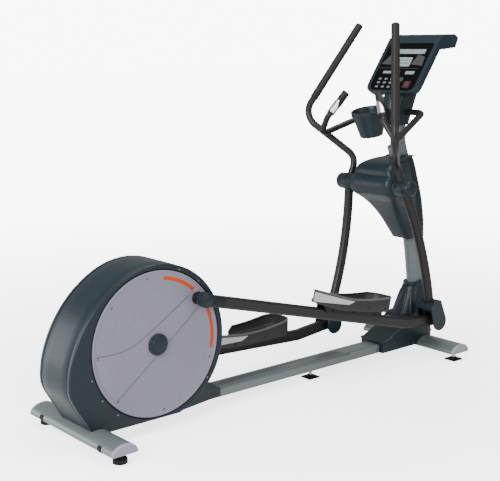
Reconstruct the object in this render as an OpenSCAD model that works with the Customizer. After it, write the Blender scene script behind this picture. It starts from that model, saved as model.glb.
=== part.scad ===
// Elliptical trainer: a drum housing with two crank discs at the rear, a floor rail, a leaning mast
// with swing arms and fixed pulse handles, and a console. Units are millimetres.
// +X points forwards from the drum to the console, +Y to the user's left, +Z up.
// Lengths along X are measured from a line through the drum; place() then moves every node so that the
// origin lies on the floor below the middle of the machine.

/* [Linkage] */
// Forward position of the crank axle
crank_x = 20; // [18:1:22]
// Distance from the crank axle to each crank pin
crank_r = 263.5; // [258:0.5:266]
// Height of the crank axle above the floor
crank_z = 382.5; // [380:0.5:386]
// Rest angle of the right crank pin above the forward direction
crank_angle = 38.2; // [30:0.2:45]
// Length of each pedal arm from crank pin to lower joint
coupler = 1464; // [1460:1:1468]
// Length of each swing arm from pivot to lower joint
rocker = 730; // [725:1:735]
// Forward position of the swing arm pivot
pivot_x = 1422; // [1418:1:1426]
// Height of the swing arm pivot
pivot_z = 896; // [892:1:900]
// Sideways distance of the swing arm tubes and lower joints from the centre plane
arm_y = 184; // [183:1:186]

/* [Drum housing] */
// Radius of each crank disc
disc_r = 309; // [300:1:309]
// Radius of the round opening around each disc
opening_r = 313.5; // [312:0.5:316]
// Half width of the housing at its side covers
housing_half = 124; // [122:1:125]
// Half width of the wrap-round band between the side covers
band_half = 100; // [96:1:102]
// Wall thickness of plastic shells
shell = 4; // [3:0.5:5]

/* [Floor frame] */
// Forward position of the rear stabiliser
rear_x = -282; // [-290:1:-275]
// Forward position of the front stabiliser
front_x = 1718; // [1710:1:1722]
// Width of the rail
rail_w = 103; // [98:1:104]
// Height of the rail's underside
rail_z = 46; // [45:1:48]
// Height of the rail section
rail_h = 45.5; // [44:0.5:46]
// Half length of the rear stabiliser with its end caps
rear_half = 334; // [320:1:340]
// Half length of the front stabiliser with its end caps
front_half = 316; // [310:1:325]

/* [Mast and console] */
// Bend radius of the curved mast
mast_bend = 3000; // [2950:10:3050]
// Depth of the mast section along the machine
mast_len = 106; // [100:1:108]
// Width of the mast section across the machine
mast_w = 66; // [60:1:68]
// Length of the console face up its slope
face_len = 305; // [298:1:308]
// Slope of the console face above horizontal
face_slope = 54.7; // [53:0.1:57]

/* [Hidden] */
$fn = 64;

RIGHT = -1;
LEFT = 1;
datum_x = 711;
fit = 0.05;
gap = 0.5;

rail_top = rail_z + rail_h;
stab_w = 118;
stab_h = 48;
stab_z = 42.5;
mast_x = 1735;
mast_z = 100;
mast_top_z = 1085;
stub_x = 1579;
stub_top = 1296;
axle_r = 15;
pivot_r = 12.5;
hinge_r = 8;
hub_r = 29;
hub_in = 146;
hub_out = 207;
eye_half = 20;
pin_y = 184;
boss_out = 160;
disc_face = 128;
pulley_r = 165;
fly_pulley_r = 28;
fly_x = -205;
fly_z = 252;
joint_cover_half = 50;
slate = [0.22, 0.29, 0.33];
silver = [0.68, 0.71, 0.71];
bronze = [0.24, 0.22, 0.21];
black = [0.08, 0.08, 0.09];
steel = [0.55, 0.56, 0.58];

// ---------- linkage positions, in the XZ plane ----------
function pin_xz(side) = let (a = crank_angle + (side == LEFT ? 180 : 0))
    [crank_x + crank_r * cos(a), crank_z + crank_r * sin(a)];
function joint_xz(side) = let (
        p = pin_xz(side),
        q = [pivot_x, pivot_z],
        d = norm(q - p),
        u = (q - p) / d,
        along = (coupler * coupler - rocker * rocker + d * d) / (2 * d),
        down = sqrt(coupler * coupler - along * along))
    p + u * along + [u[1], -u[0]] * down;
function swing_angle(side) = atan2(joint_xz(side)[0] - pivot_x, pivot_z - joint_xz(side)[1]);
function arm_angle(side) = atan2(pin_xz(side)[1] - joint_xz(side)[1], joint_xz(side)[0] - pin_xz(side)[0]);
function mast_centre(z) = mast_x - mast_bend * (1 - cos(asin((z - mast_z) / mast_bend)));

// ---------- frames ----------
module place() translate([-datum_x, 0, 0]) children();
module on_side(side) mirror([0, side == RIGHT ? 1 : 0, 0]) children();
module both_sides() for (side = [RIGHT, LEFT]) on_side(side) children();
// Swing arm frame: origin at the pivot, -Z towards the lower joint, +Y outwards
module swing_frame(side) place() translate([pivot_x, 0, pivot_z])
    rotate([0, -swing_angle(side), 0]) on_side(side) children();
// Pedal arm frame: origin at the lower joint, -X towards the crank pin, +Y outwards
module arm_frame(side) place() translate([joint_xz(side)[0], 0, joint_xz(side)[1]])
    rotate([0, arm_angle(side), 0]) on_side(side) children();
// Crank frame: origin on the crank axis, +X towards that side's crank pin, +Y outwards
module crank_frame(side) place() translate([crank_x, 0, crank_z]) on_side(side)
    rotate([0, -crank_angle - (side == LEFT ? 180 : 0), 0]) children();
// Console face frame: +X up the slope, +Y across, +Z out towards the user
face_at = [1523, 0, 1359.6];
module face_frame() place() translate(face_at) rotate([0, -face_slope, 0]) children();

// ---------- shared shapes ----------
// Cylinder along Y from y0 to y1
module bar_y(r, y0, y1) translate([0, y0, 0]) rotate([-90, 0, 0]) cylinder(r = r, h = y1 - y0);
// Outline in XZ extruded along Y from y0 to y1
module slab_y(y0, y1) translate([0, y1, 0]) rotate([90, 0, 0]) linear_extrude(y1 - y0) children();
// Frame with its origin at a and +Z towards b
module along(a, b) {
    d = b - a;
    translate(a) rotate([0, acos(d[2] / norm(d)), atan2(d[1], d[0])]) children();
}
// Straight round rod between two points
module rod(a, b, r) along(a, b) cylinder(r = r, h = norm(b - a));
function unit(v) = v / norm(v);
function turn(p, i) = acos(unit(p[i] - p[i - 1]) * unit(p[i + 1] - p[i]));
function setback(p, b, i) = (i == 0 || i == len(p) - 1) ? 0 : b[i] * tan(turn(p, i) / 2);
// Round rod along corner points p, bent at each inner point i to radius b[i]. The straight lengths
// run 0.8 mm into the bends, which are 0.02 mm thicker.
module bent_rod(p, b, r) {
    lap = 0.8;
    for (i = [0 : len(p) - 2]) {
        u = unit(p[i + 1] - p[i]);
        rod(p[i] + u * (i == 0 ? 0 : setback(p, b, i) - lap),
            p[i + 1] - u * (i == len(p) - 2 ? 0 : setback(p, b, i + 1) - lap), r);
    }
    for (i = [1 : len(p) - 2]) {
        u = unit(p[i] - p[i - 1]);
        v = unit(p[i + 1] - p[i]);
        c = p[i] + unit(v - u) * b[i] / cos(turn(p, i) / 2);
        e = unit(p[i] - u * setback(p, b, i) - c);
        w = cross(e, u);
        multmatrix([[e[0], u[0], w[0], c[0]], [e[1], u[1], w[1], c[1]], [e[2], u[2], w[2], c[2]]])
            rotate_extrude(angle = turn(p, i)) translate([b[i], 0]) circle(r + 0.02);
    }
}
// Points of a path along corner points p, each corner rounded to radius b[i] in steps of about 12 degrees
function corner_points(p, b, i) = let (
        a = turn(p, i),
        u = unit(p[i] - p[i - 1]),
        v = unit(p[i + 1] - p[i]),
        c = p[i] + unit(v - u) * b[i] / cos(a / 2),
        e = p[i] - u * setback(p, b, i) - c,
        n = ceil(a / 12))
    [for (k = [0 : n]) [c + e * cos(a * k / n) + u * b[i] * sin(a * k / n), u * cos(a * k / n) - e / b[i] * sin(a * k / n)]];
function path_points(p, b) = concat([[p[0], unit(p[1] - p[0])]],
    [for (i = [1 : len(p) - 2]) each corner_points(p, b, i)],
    [[p[len(p) - 1], unit(p[len(p) - 1] - p[len(p) - 2])]]);
// Round bar of radius r swept along rounded corner points; ref is never parallel to the path
module swept_bar(p, b, r, ref, sides) {
    path = path_points(p, b);
    m = len(path);
    pts = [for (q = path) let (n1 = unit(cross(q[1], ref)), n2 = cross(q[1], n1))
        for (k = [0 : sides - 1]) q[0] + r * (n1 * cos(k * 360 / sides) + n2 * sin(k * 360 / sides))];
    side_faces = [for (i = [0 : m - 2], k = [0 : sides - 1]) let (k1 = (k + 1) % sides)
        [i * sides + k, (i + 1) * sides + k, (i + 1) * sides + k1, i * sides + k1]];
    ends = [[for (k = [0 : sides - 1]) k], [for (k = [sides - 1 : -1 : 0]) (m - 1) * sides + k]];
    polyhedron(pts, concat(side_faces, ends), convexity = 6);
}
// Rectangle from (x0, y0) to (x1, y1) with round corners
module round_rect(x0, x1, y0, y1, r) {
    translate([x0 + r, y0]) square([x1 - x0 - 2 * r, y1 - y0]);
    translate([x0, y0 + r]) square([x1 - x0, y1 - y0 - 2 * r]);
    for (x = [x0 + r, x1 - r], y = [y0 + r, y1 - r]) translate([x, y]) circle(r);
}
// Flat-sided oval, l long and w wide
module stadium(l, w) {
    square([l - w, w], center = true);
    for (s = [-1, 1]) translate([s * (l - w) / 2, 0]) circle(w / 2);
}

// ---------- floor frame ----------
module rail_section(inset) round_rect(-rail_w / 2 + inset, rail_w / 2 - inset,
    rail_z + inset, rail_top - inset, 12 - inset);
module rail_tube(x0, x1, wall) translate([x0, 0, 0]) rotate([90, 0, 90]) linear_extrude(x1 - x0)
    difference() {
        rail_section(0);
        if (wall > 0) rail_section(wall);
    }
// Flat-bottomed domed stabiliser section, drawn across X and up Z
module stab_section(inset) {
    dome = (stab_w * stab_w / 4 + 42 * 42) / (2 * 42);
    intersection() {
        translate([0, stab_h - dome]) circle(dome - inset, $fn = 96);
        translate([-stab_w / 2 + inset, inset]) square([stab_w - 2 * inset, stab_h]);
    }
}
module stab_body(x, half, inset) translate([x, 0, stab_z]) slab_y(-half, half) stab_section(inset);
cap_t = 12;
splice_x = 1205;

module rear_rail() color(silver) place() difference() {
    rail_tube(rear_x, splice_x, 3);
    stab_body(rear_x, 100, 0);
}
module front_rail() color(silver) place() difference() {
    union() {
        rail_tube(splice_x, front_x, 3);
        // spigot that slides into the rear rail
        translate([splice_x - 120, 0, 0]) rotate([90, 0, 90]) linear_extrude(160) difference() {
            rail_section(3);
            rail_section(7);
        }
    }
    stab_body(front_x, 100, 0);
}
module stabilizer(x, half) color(silver) place() difference() {
    stab_body(x, half - cap_t, 0);
    stab_body(x, half, 3);
}
module rear_stabilizer() color(silver) difference() {
    stabilizer(rear_x, rear_half);
    // pockets for the transport wheels
    place() both_sides() translate([rear_x - 64, wheel_y - 15, stab_z - 1]) cube([38, 30, 25]);
}
module front_stabilizer() stabilizer(front_x, front_half);
module stabilizer_end_caps() color([0.66, 0.66, 0.70]) place()
    for (end = [[rear_x, rear_half], [front_x, front_half]]) both_sides()
        translate([end[0], 0, stab_z]) {
            slab_y(end[1] - cap_t, end[1] - 4) stab_section(0);
            slab_y(end[1] - 4, end[1]) stab_section(3);
        }

round_spots = [[rear_x, rear_half - 44]];
square_spots = [[front_x, front_half - 48]];
pad = 64;
centre_foot_x = 984;
module round_foot() {
    cylinder(r = 30, h = 18);
    translate([0, 0, 18]) cylinder(r1 = 30, r2 = 22, h = 8);
}
module square_foot() {
    translate([-pad / 2, -pad / 2, 0]) cube([pad, pad, 6]);
    translate([0, 0, 6]) cylinder(r = 17, h = 8);
}
module round_feet() color(black) place() both_sides()
    for (p = round_spots) translate([p[0], p[1], 0]) round_foot();
module square_feet() color(black) place() {
    both_sides() for (p = square_spots) translate([p[0], p[1], 0]) square_foot();
    translate([centre_foot_x, 0, 0]) square_foot();
}
// Threaded stud with its lock nut, from the foot up to the frame at height top
module stud(bottom, top) {
    translate([0, 0, bottom]) cylinder(r = 8, h = top - bottom);
    translate([0, 0, top - 9]) cylinder(r = 14, h = 9, $fn = 6);
}
module foot_studs() color(steel) place() {
    both_sides() for (p = round_spots) translate([p[0], p[1], 0]) stud(26, stab_z);
    both_sides() for (p = square_spots) translate([p[0], p[1], 0]) stud(14, stab_z);
    translate([centre_foot_x, 0, 0]) stud(14, rail_z);
}

wheel_x = rear_x - 45;
wheel_y = 232;
wheel_z = 49;
wheel_r = 15;
module wheel_forks() color(steel) place() both_sides()
    for (dy = [-14.9, 11.9]) translate([wheel_x, wheel_y + dy, wheel_z]) difference() {
        union() {
            bar_y(9, 0, 3);
            translate([0, 0, -5]) cube([18.8, 3, 14]);
        }
        bar_y(4, -1, 5);
    }
module wheel_axles() color(steel) place() both_sides() translate([wheel_x, 0, wheel_z]) {
    bar_y(4, wheel_y - 14.9, wheel_y + 14.9);
}
module transport_wheel(side) color(black) place() on_side(side) translate([wheel_x, 0, wheel_z])
    difference() {
        union() {
            bar_y(wheel_r, wheel_y - 9, wheel_y + 9);
            bar_y(7, wheel_y - 11.4, wheel_y + 11.4);
        }
        bar_y(4 + fit, wheel_y - 20, wheel_y + 20);
    }
module transport_wheel_right() transport_wheel(RIGHT);
module transport_wheel_left() transport_wheel(LEFT);

// ---------- mast ----------
// Curved oval body of the mast between two heights
module mast_body(z0, z1, grow) {
    a0 = asin((z0 - mast_z) / mast_bend);
    a1 = asin((z1 - mast_z) / mast_bend);
    translate([mast_x - mast_bend, 0, mast_z]) rotate([90, 0, 0]) rotate([0, 0, a0])
        rotate_extrude(angle = a1 - a0, $fn = 360) translate([mast_bend, 0])
            stadium(mast_len + 2 * grow, mast_w + 2 * grow);
}
// Upright top of the mast, inside the neck
module mast_stub(lift, grow) translate([stub_x, 0, mast_top_z - 20 + lift])
    linear_extrude(stub_top - mast_top_z + 20) stadium(84 + 2 * grow, 58 + 2 * grow);
module mast() color(silver) place() difference() {
    union() {
        mast_body(mast_z, mast_top_z, 0);
        mast_stub(-30, 0);
        // foot plate over the rail and front stabiliser
        translate([1610, -58, rail_top]) cube([178, 116, mast_z + 4 - rail_top]);
        // cross tube of the swing arm pivot and its two side plates
        translate([pivot_x, 0, pivot_z]) bar_y(30, 8 - hub_in, hub_in - 8);
        for (y = [-31, 23]) slab_y(y, y + 8) polygon([[pivot_x - 20, pivot_z - 22], [pivot_x, pivot_z + 28],
            [1605, 1000], [1625, 1000], [1668, 800], [1640, 780]]);
    }
    mast_body(mast_z + 9, mast_top_z - 60, -3);
    mast_stub(50, -3);
    translate([1586, 0, 1244]) bar_y(18, -60, 60);
    translate([pivot_x, 0, pivot_z]) bar_y(25, -114, 114);
    translate([pivot_x, 0, pivot_z]) bar_y(pivot_r, -160, 160);
}
module pivot_axle() color(steel) place() translate([pivot_x, 0, pivot_z]) {
    bar_y(pivot_r, -222, 222);
    both_sides() bar_y(19, hub_out + 1, 220);
}

// ---------- drive inside the housing ----------
stand_y = 66;
module drive_stand() color(steel) place() {
    translate([-215, -stand_y - 8, rail_top]) cube([330, 2 * stand_y + 16, 8]);
    both_sides() difference() {
        slab_y(stand_y, stand_y + 8) union() {
            polygon([[-215, rail_top + 8], [115, rail_top + 8], [crank_x + 48, crank_z], [crank_x - 48, crank_z],
                [fly_x + 20, fly_z + 35], [fly_x - 30, fly_z]]);
            translate([crank_x, crank_z]) circle(56);
            translate([fly_x, fly_z]) circle(36);
        }
        translate([crank_x, 0, crank_z]) bar_y(40, stand_y - 1, stand_y + 9);
        translate([fly_x, 0, fly_z]) bar_y(10 + fit, stand_y - 1, stand_y + 9);
    }
}
module crank_bearings() color(steel) place() translate([crank_x, 0, crank_z]) both_sides() difference() {
    union() {
        bar_y(40, stand_y - 4, stand_y + 8);
        bar_y(46, stand_y + 8, stand_y + 12);
    }
    bar_y(axle_r + fit, stand_y - 6, stand_y + 14);
}
module flywheel() color([0.35, 0.35, 0.37]) place() translate([fly_x, 0, fly_z]) {
    bar_y(10, -80, 80);
    bar_y(40, -62, -8);
    difference() {
        bar_y(130, -54, -18);
        bar_y(104, -60, -46);
        bar_y(104, -26, -14);
    }
    bar_y(fly_pulley_r, 22, 48);
    for (y = [20, 48]) bar_y(fly_pulley_r + 4, y, y + 2);
}
// Magnet yoke that straddles the flywheel rim and hangs from the stand
module brake_unit() color([0.30, 0.30, 0.33]) place() translate([fly_x, 0, fly_z]) difference() {
    union() {
        intersection() {
            bar_y(146, -63, -9);
            rotate([0, -158, 0]) translate([0, -90, 0]) cube([200, 100, 70]);
        }
        translate([-132, -65.5, 18]) cube([40, 4, 34]);
    }
    bar_y(133, -57, -15);
    bar_y(96, -100, 0);
}
// Outline of a belt round two pulleys, grown outwards from both
module belt_outline(grow) {
    d = norm([fly_x - crank_x, fly_z - crank_z]);
    a = acos((pulley_r - fly_pulley_r) / d);
    big = pulley_r + grow;
    small = fly_pulley_r + grow;
    circle(big, $fn = 96);
    translate([d, 0]) circle(small);
    polygon([for (s = [1, -1]) big * [cos(a), s * sin(a)], for (s = [-1, 1]) [d, 0] + small * [cos(a), s * sin(a)]]);
}
module drive_belt() color(black) place() translate([crank_x, 0, crank_z])
    rotate([0, 180 - atan2(crank_z - fly_z, crank_x - fly_x), 0]) slab_y(25, 45) difference() {
        belt_outline(3);
        belt_outline(0.3);
    }
module crank_axle() color(steel) place() translate([crank_x, 0, crank_z]) {
    bar_y(axle_r, -116, 116);
    bar_y(22, 52, 60);
    bar_y(22, -60, -14);
}
module crank_arms() color(steel) for (side = [RIGHT, LEFT]) crank_frame(side) difference() {
    slab_y(104, 116) union() {
        circle(44);
        translate([crank_r, 0]) circle(32);
        polygon([[0, 44], [0, -44], [crank_r, -32], [crank_r, 32]]);
    }
    bar_y(axle_r, 100, 120);
    translate([crank_r, 0, 0]) bar_y(14, 100, 120);
}
module drive_pulley() color([0.16, 0.16, 0.17]) place() translate([crank_x, 0, crank_z]) difference() {
    union() {
        bar_y(pulley_r, 20, 50);
        for (y = [19, 50]) bar_y(pulley_r + 5, y, y + 1);
    }
    for (k = [0 : 5]) rotate([0, k * 60, 0]) translate([98, 0, 0]) bar_y(32, 10, 60);
    bar_y(axle_r, 10, 60);
}

// ---------- crank discs ----------
module crank_disc(side) color([0.70, 0.69, 0.74]) crank_frame(side) difference() {
    // shallow dish: thin face with a deeper rim, radius along X and depth along Y before the turn
    rotate([-90, 0, 0]) rotate_extrude($fn = 192) polygon([[0, disc_face - 4], [disc_r - 7, disc_face - 6],
        [disc_r - 7, disc_face - 11], [disc_r, disc_face - 11], [disc_r, disc_face - 3],
        [disc_r - 3, disc_face - 1], [0, disc_face]]);
    translate([crank_r, 0, 0]) bar_y(14, 100, 140);
}
module crank_disc_right() crank_disc(RIGHT);
module crank_disc_left() crank_disc(LEFT);
module crank_hub_caps() color(slate) for (side = [RIGHT, LEFT]) crank_frame(side)
    rotate([-90, 0, 0]) rotate_extrude() polygon([[0, disc_face], [46, disc_face], [46, disc_face + 7],
        [42, disc_face + 10], [0, disc_face + 12]]);
module crank_pin_bosses() color(black) for (side = [RIGHT, LEFT]) crank_frame(side)
    translate([crank_r, 0, 0]) {
        bar_y(14, 104, disc_face);
        bar_y(30, disc_face, boss_out - 3);
        bar_y(27, boss_out - 3, boss_out);
    }

// ---------- drum housing ----------
// Side outline of the housing: a round front running smoothly into a larger arc at the rear
front_c = [27, 380.5];
front_r = 336;
rear_r = 506;
blend = 117;
rear_c = front_c - (rear_r - front_r) * [cos(blend), sin(blend)];
module housing_outline(inset) intersection() {
    union() {
        translate(front_c) circle(front_r - inset, $fn = 192);
        intersection() {
            translate(rear_c) circle(rear_r - inset, $fn = 288);
            polygon([front_c, front_c + 360 * [cos(blend), sin(blend)], [-600, 700], [-600, 247 + inset * 0.5],
                [-402 + inset, 247 + inset * 0.5], [-294 + inset * 1.2, 62], [-290, 40], [20, 40]]);
        }
    }
    translate([-500, housing_z + inset]) square([1000, 1000]);
}
housing_z = 59;
// Rail and rear stabiliser with a little room, taken out of every shell that they pass through
module frame_clearance() {
    rail_tube(rear_x, 500, 0);
    translate([0, 0, 1]) rail_tube(rear_x, 500, 0);
    stab_body(rear_x, rear_half, 0);
    translate([0, 0, 1]) stab_body(rear_x, rear_half, 0);
}
module housing_band() color(slate) place() difference() {
    slab_y(-band_half, band_half) housing_outline(0);
    slab_y(-band_half - 1, band_half + 1) housing_outline(shell);
    frame_clearance();
}
module housing_cover(side) color(slate) place() difference() {
    on_side(side) {
        slab_y(band_half, housing_half - 14) housing_outline(0);
        slab_y(housing_half - 14, housing_half - 5) housing_outline(4);
        slab_y(housing_half - 5, housing_half) housing_outline(10);
    }
    on_side(side) slab_y(band_half - 1, housing_half - 14 - shell) housing_outline(shell);
    on_side(side) slab_y(band_half - 1, housing_half - shell) housing_outline(14);
    on_side(side) translate([crank_x, 0, crank_z]) bar_y(opening_r, 90, 200);
    frame_clearance();
}
module housing_cover_right() housing_cover(RIGHT);
module housing_cover_left() housing_cover(LEFT);
// Tapered toe that closes the housing down onto the rail
module fairing_body(inset) hull() {
    translate([60, -housing_half + 6 + inset, housing_z + inset]) cube([10, 2 * (housing_half - 6 - inset), 130]);
    translate([322 - inset, -68 + inset, housing_z + inset]) cube([8, 136 - 2 * inset, 76 - inset]);
    translate([386 - inset, -61 + inset, housing_z + inset]) cube([4, 122 - 2 * inset, 36 - inset]);
}
module rail_fairing() color(slate) place() difference() {
    fairing_body(0);
    translate([0, 0, -5]) fairing_body(shell);
    slab_y(-200, 200) housing_outline(-gap);
    frame_clearance();
}

// ---------- front covers ----------
ramp_x = 1405;
nose_x = 1800;
base_half = 75;
tower_z = 346;
// Ramp and nose of the base cover, seen from the side
module base_profile(inset) polygon([[ramp_x + inset, 50], [ramp_x + inset, 106 - inset],
    [1535 + inset, 160 - inset], [1590 + inset, 212 - inset], [nose_x - inset, 240 - inset], [nose_x - inset, 50]]);
module base_low(inset) intersection() {
    slab_y(-base_half + inset, base_half - inset) base_profile(inset);
    linear_extrude(400) round_rect(ramp_x - 80, nose_x - inset, -base_half + inset, base_half - inset, 60);
}
module base_tower(inset) hull() {
    translate([(1578 + nose_x) / 2, 0, 200]) linear_extrude(1) stadium(nose_x - 1578 - 2 * inset,
        2 * base_half - 4 - 2 * inset, $fn = 48);
    translate([mast_centre(tower_z), 0, tower_z - 4 - inset]) linear_extrude(4) stadium(152 - 2 * inset,
        104 - 2 * inset, $fn = 48);
}
module base_cover() color(slate) place() difference() {
    union() {
        base_low(0);
        base_tower(0);
        // collar round the mast
        translate([0, 0, 0]) mast_body(tower_z - 2, tower_z + 24, 18);
    }
    translate([0, 0, -1]) base_low(shell);
    base_tower(shell);
    mast_body(mast_z + 1, 500, 1);
    rail_tube(1300, front_x, 0);
    translate([0, 0, 1]) rail_tube(1300, front_x, 0);
    translate([0, 0, 1]) stab_body(front_x, 200, 0);
    stab_body(front_x, 200, 0);
    translate([1608, -60, rail_top - 1]) cube([182, 120, mast_z - rail_top + 6]);
}

// Pivot shroud: wide across the swing arm pivots, closing onto the mast above and below
module shroud_body(inset) {
    hull() {
        translate([pivot_x + 3, 0, pivot_z + 8]) bar_y(52 - inset, -126 + inset, 126 - inset, $fn = 40);
        translate([1478, 0, 962]) bar_y(62 - inset, -66 + inset, 66 - inset, $fn = 40);
        translate([1562, 0, 770]) bar_y(32 - inset, -52 + inset, 52 - inset, $fn = 32);
        translate([1590, 0, 1026]) linear_extrude(14 - inset) stadium(126 - 2 * inset, 96 - 2 * inset, $fn = 32);
        translate([1645, 0, 840]) linear_extrude(20) stadium(132 - 2 * inset, 124 - 2 * inset, $fn = 32);
    }
    hull() {
        translate([1562, 0, 770]) bar_y(32 - inset, -52 + inset, 52 - inset, $fn = 32);
        translate([1645, 0, 840]) linear_extrude(20) stadium(132 - 2 * inset, 124 - 2 * inset, $fn = 32);
        translate([1693, 0, 592 + inset]) linear_extrude(14) stadium(124 - 2 * inset, 100 - 2 * inset, $fn = 32);
    }
}
module shroud_shell() difference() {
    union() {
        shroud_body(0);
        translate([pivot_x, 0, pivot_z]) bar_y(44, 3 - hub_in, hub_in - 3);
    }
    shroud_body(shell);
    translate([pivot_x, 0, pivot_z]) bar_y(30 + gap, 6 - hub_in, hub_in - 6);
    translate([pivot_x, 0, pivot_z]) bar_y(pivot_r + 1, -170, 170);
    mast_body(400, mast_top_z, 0.4);
}
// Space behind the seam between the two shroud halves, which follows the mast
module behind_seam() slab_y(-300, 300) polygon([[1000, 500], [1668, 500], [1668, 760], [1580, 1100], [1000, 1100]]);
module shroud_rear() color(slate) place() intersection() {
    shroud_shell();
    behind_seam();
}
module shroud_front() color(slate) place() difference() {
    shroud_shell();
    behind_seam();
}

// ---------- neck, handlebar and cup holder ----------
module neck_body(inset) hull() {
    translate([1550, 0, 1182 - inset]) linear_extrude(4) stadium(160 - 2 * inset, 100 - 2 * inset, $fn = 32);
    translate([1572, 0, 1310]) linear_extrude(10) stadium(140 - 2 * inset, 116 - 2 * inset, $fn = 32);
    translate([1625, 0, 1372 - inset]) linear_extrude(6) stadium(70 - 2 * inset, 116 - 2 * inset, $fn = 32);
}
bar_path = [[1586, 0, 1244], [1586, 155, 1244], [1293, 254, 1134], [1278, 189, 1226], [1326, 111.8, 1341.8]];
bar_bends = [0, 38, 26, 60, 0];
bar_r = 15;
half_bar = [for (i = [1 : 4]) bar_path[i]];
whole_bar = concat([for (i = [3 : -1 : 0]) [half_bar[i][0], -half_bar[i][1], half_bar[i][2]]], half_bar);
whole_bends = [0, 60, 26, 38, 38, 26, 60, 0];
module neck_cover() color(slate) place() difference() {
    neck_body(0);
    neck_body(shell);
    translate([0, 0, 20]) mast_stub(0, 1);
    both_sides() rod(bar_path[0], bar_path[1], bar_r + gap);
    translate([1430, -22, 1192]) cube([100, 44, 34]);
    console_block(0.3);
}
module fixed_handlebar() color(bronze) place() {
    swept_bar(whole_bar, whole_bends, bar_r, [0.5, 0, -0.85], 24);
    // sleeve clamped in the mast
    translate([1586, 0, 1244]) bar_y(18, -40, 40);
}
grip_start = bar_path[3] + unit(bar_path[4] - bar_path[3]) * 22;
grip_end = bar_path[4];
grip_tip = grip_end + unit(bar_path[4] - bar_path[3]) * 6;
module pulse_grips() color([0.20, 0.19, 0.19]) place() both_sides() difference() {
    rod(grip_start, grip_tip, bar_r + 4);
    rod(grip_start, grip_end, bar_r);
}
module pulse_sensors() color([0.80, 0.80, 0.82]) place() both_sides() {
    along = unit(grip_end - grip_start);
    mid = (grip_start + grip_end) / 2;
    difference() {
        rod(mid - along * 48, mid + along * 48, bar_r + 5.5);
        rod(mid - along * 50, mid + along * 50, bar_r + 4.15);
        translate(mid - [12, 60, 80]) cube([24, 120, 160]);
    }
}
cup_x = 1395;
cup_z = 1139;
cup_tilt = 12;
cup_h = 130;
module cup_frame() place() translate([cup_x, 0, cup_z]) rotate([0, -cup_tilt, 0]) children();
module cup_holder() color(slate) difference() {
    union() {
        cup_frame() cylinder(r1 = 56, r2 = 79, h = cup_h - 24);
        cup_frame() translate([0, 0, cup_h - 24]) cylinder(r1 = 79, r2 = 82, h = 24);
        // arm back to the neck
        place() translate([1430, -22, 1192]) cube([106.8, 44, 34]);
    }
    cup_frame() translate([0, 0, 4]) cylinder(r1 = 53, r2 = 77.5, h = cup_h);
    place() translate([0, 0, 50]) mast_stub(0, 0.1);
}

// ---------- console ----------
face_w = 338;
face_low = -20;
slab_t = 30;
// Face outline: +X up the slope, Y across; large corners below, small ones under the hood
module face_outline(inset) {
    round_rect(face_low + inset, 200, -face_w / 2 + inset, face_w / 2 - inset, max(46 - inset, 8));
    round_rect(120, face_len - inset, -face_w / 2 + inset, face_w / 2 - inset, max(22 - inset, 8));
}
// Outline of the black panel set into the face
module panel_outline(inset) {
    round_rect(-9 + inset, 200, -146 + inset, 146 - inset, 34 - inset);
    round_rect(120, 266 - inset, -146 + inset, 146 - inset, 10 - inset);
}
// Space taken by the console's frame and circuit box, grown for the neck to close round it
module console_block(grow) translate(face_at) rotate([0, -face_slope, 0]) {
    translate([0, 0, -slab_t - grow]) linear_extrude(300) face_outline(-grow);
    translate([30 - grow, -90 - grow, -70 - grow]) cube([150 + 2 * grow, 180 + 2 * grow, 70]);
}
// Hood that runs forwards from the top edge of the face, seen from the side
module hood_profile(inset) offset(delta = -inset) polygon([[1668, 1545], [1699, 1601], [1712, 1612], [1737, 1618],
    [1801, 1618], [1824, 1598], [1803, 1552], [1716, 1545]]);
module console_shell() color(slate) difference() {
    union() {
        face_frame() {
            translate([0, 0, -slab_t]) linear_extrude(slab_t) face_outline(0);
            // battery and circuit box behind the face
            translate([30, -90, -70]) cube([150, 180, 71 - slab_t]);
        }
        place() slab_y(-face_w / 2, face_w / 2) hood_profile(0);
    }
    face_frame() {
        translate([0, 0, -3]) linear_extrude(50) panel_outline(0);
        translate([0, 0, 3 - slab_t]) linear_extrude(slab_t - 7) face_outline(3);
        translate([33, -87, -67]) cube([144, 174, 71 - slab_t]);
    }
    place() slab_y(4 - face_w / 2, face_w / 2 - 4) hood_profile(4);
}
module console_face() color(black) face_frame() difference() {
    translate([0, 0, -3]) linear_extrude(4) panel_outline(0.3);
    translate([129, -52, 0]) cube([52, 104, 5]);
    for (key = [start_at, stop_at]) translate([key[0], key[1], -4]) cylinder(r = key_r + gap, h = 10);
}
start_at = [52, -42];
stop_at = [27, -90];
key_r = 13;
module console_display() color([0.55, 0.63, 0.58]) face_frame() translate([129.3, -51.7, 0]) cube([51.4, 103.4, 1.6]);
module console_key(at) face_frame() translate([at[0], at[1], -1.6]) {
    cylinder(r = key_r, h = 4.6);
    translate([0, 0, 4.6]) cylinder(r1 = key_r, r2 = key_r - 1.5, h = 1);
}
module start_key() color([0.25, 0.5, 0.3]) console_key(start_at);
module stop_key() color([0.6, 0.15, 0.13]) console_key(stop_at);

// ---------- fasteners seen on the covers ----------
module screw_y(x, z, y) translate([x, 0, z]) both_sides() bar_y(4, y, y + 1.5);
module cover_screws() color(steel) place() {
    for (a = [47, 68, -38]) screw_y(crank_x + 320 * cos(a), crank_z + 320 * sin(a), housing_half);
    for (a = [196, 214, 232]) screw_y(crank_x + 328 * cos(a), crank_z + 328 * sin(a), housing_half);
    screw_y(1470, 120, base_half);
    screw_y(1693, 640, 53.2);
}

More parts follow.
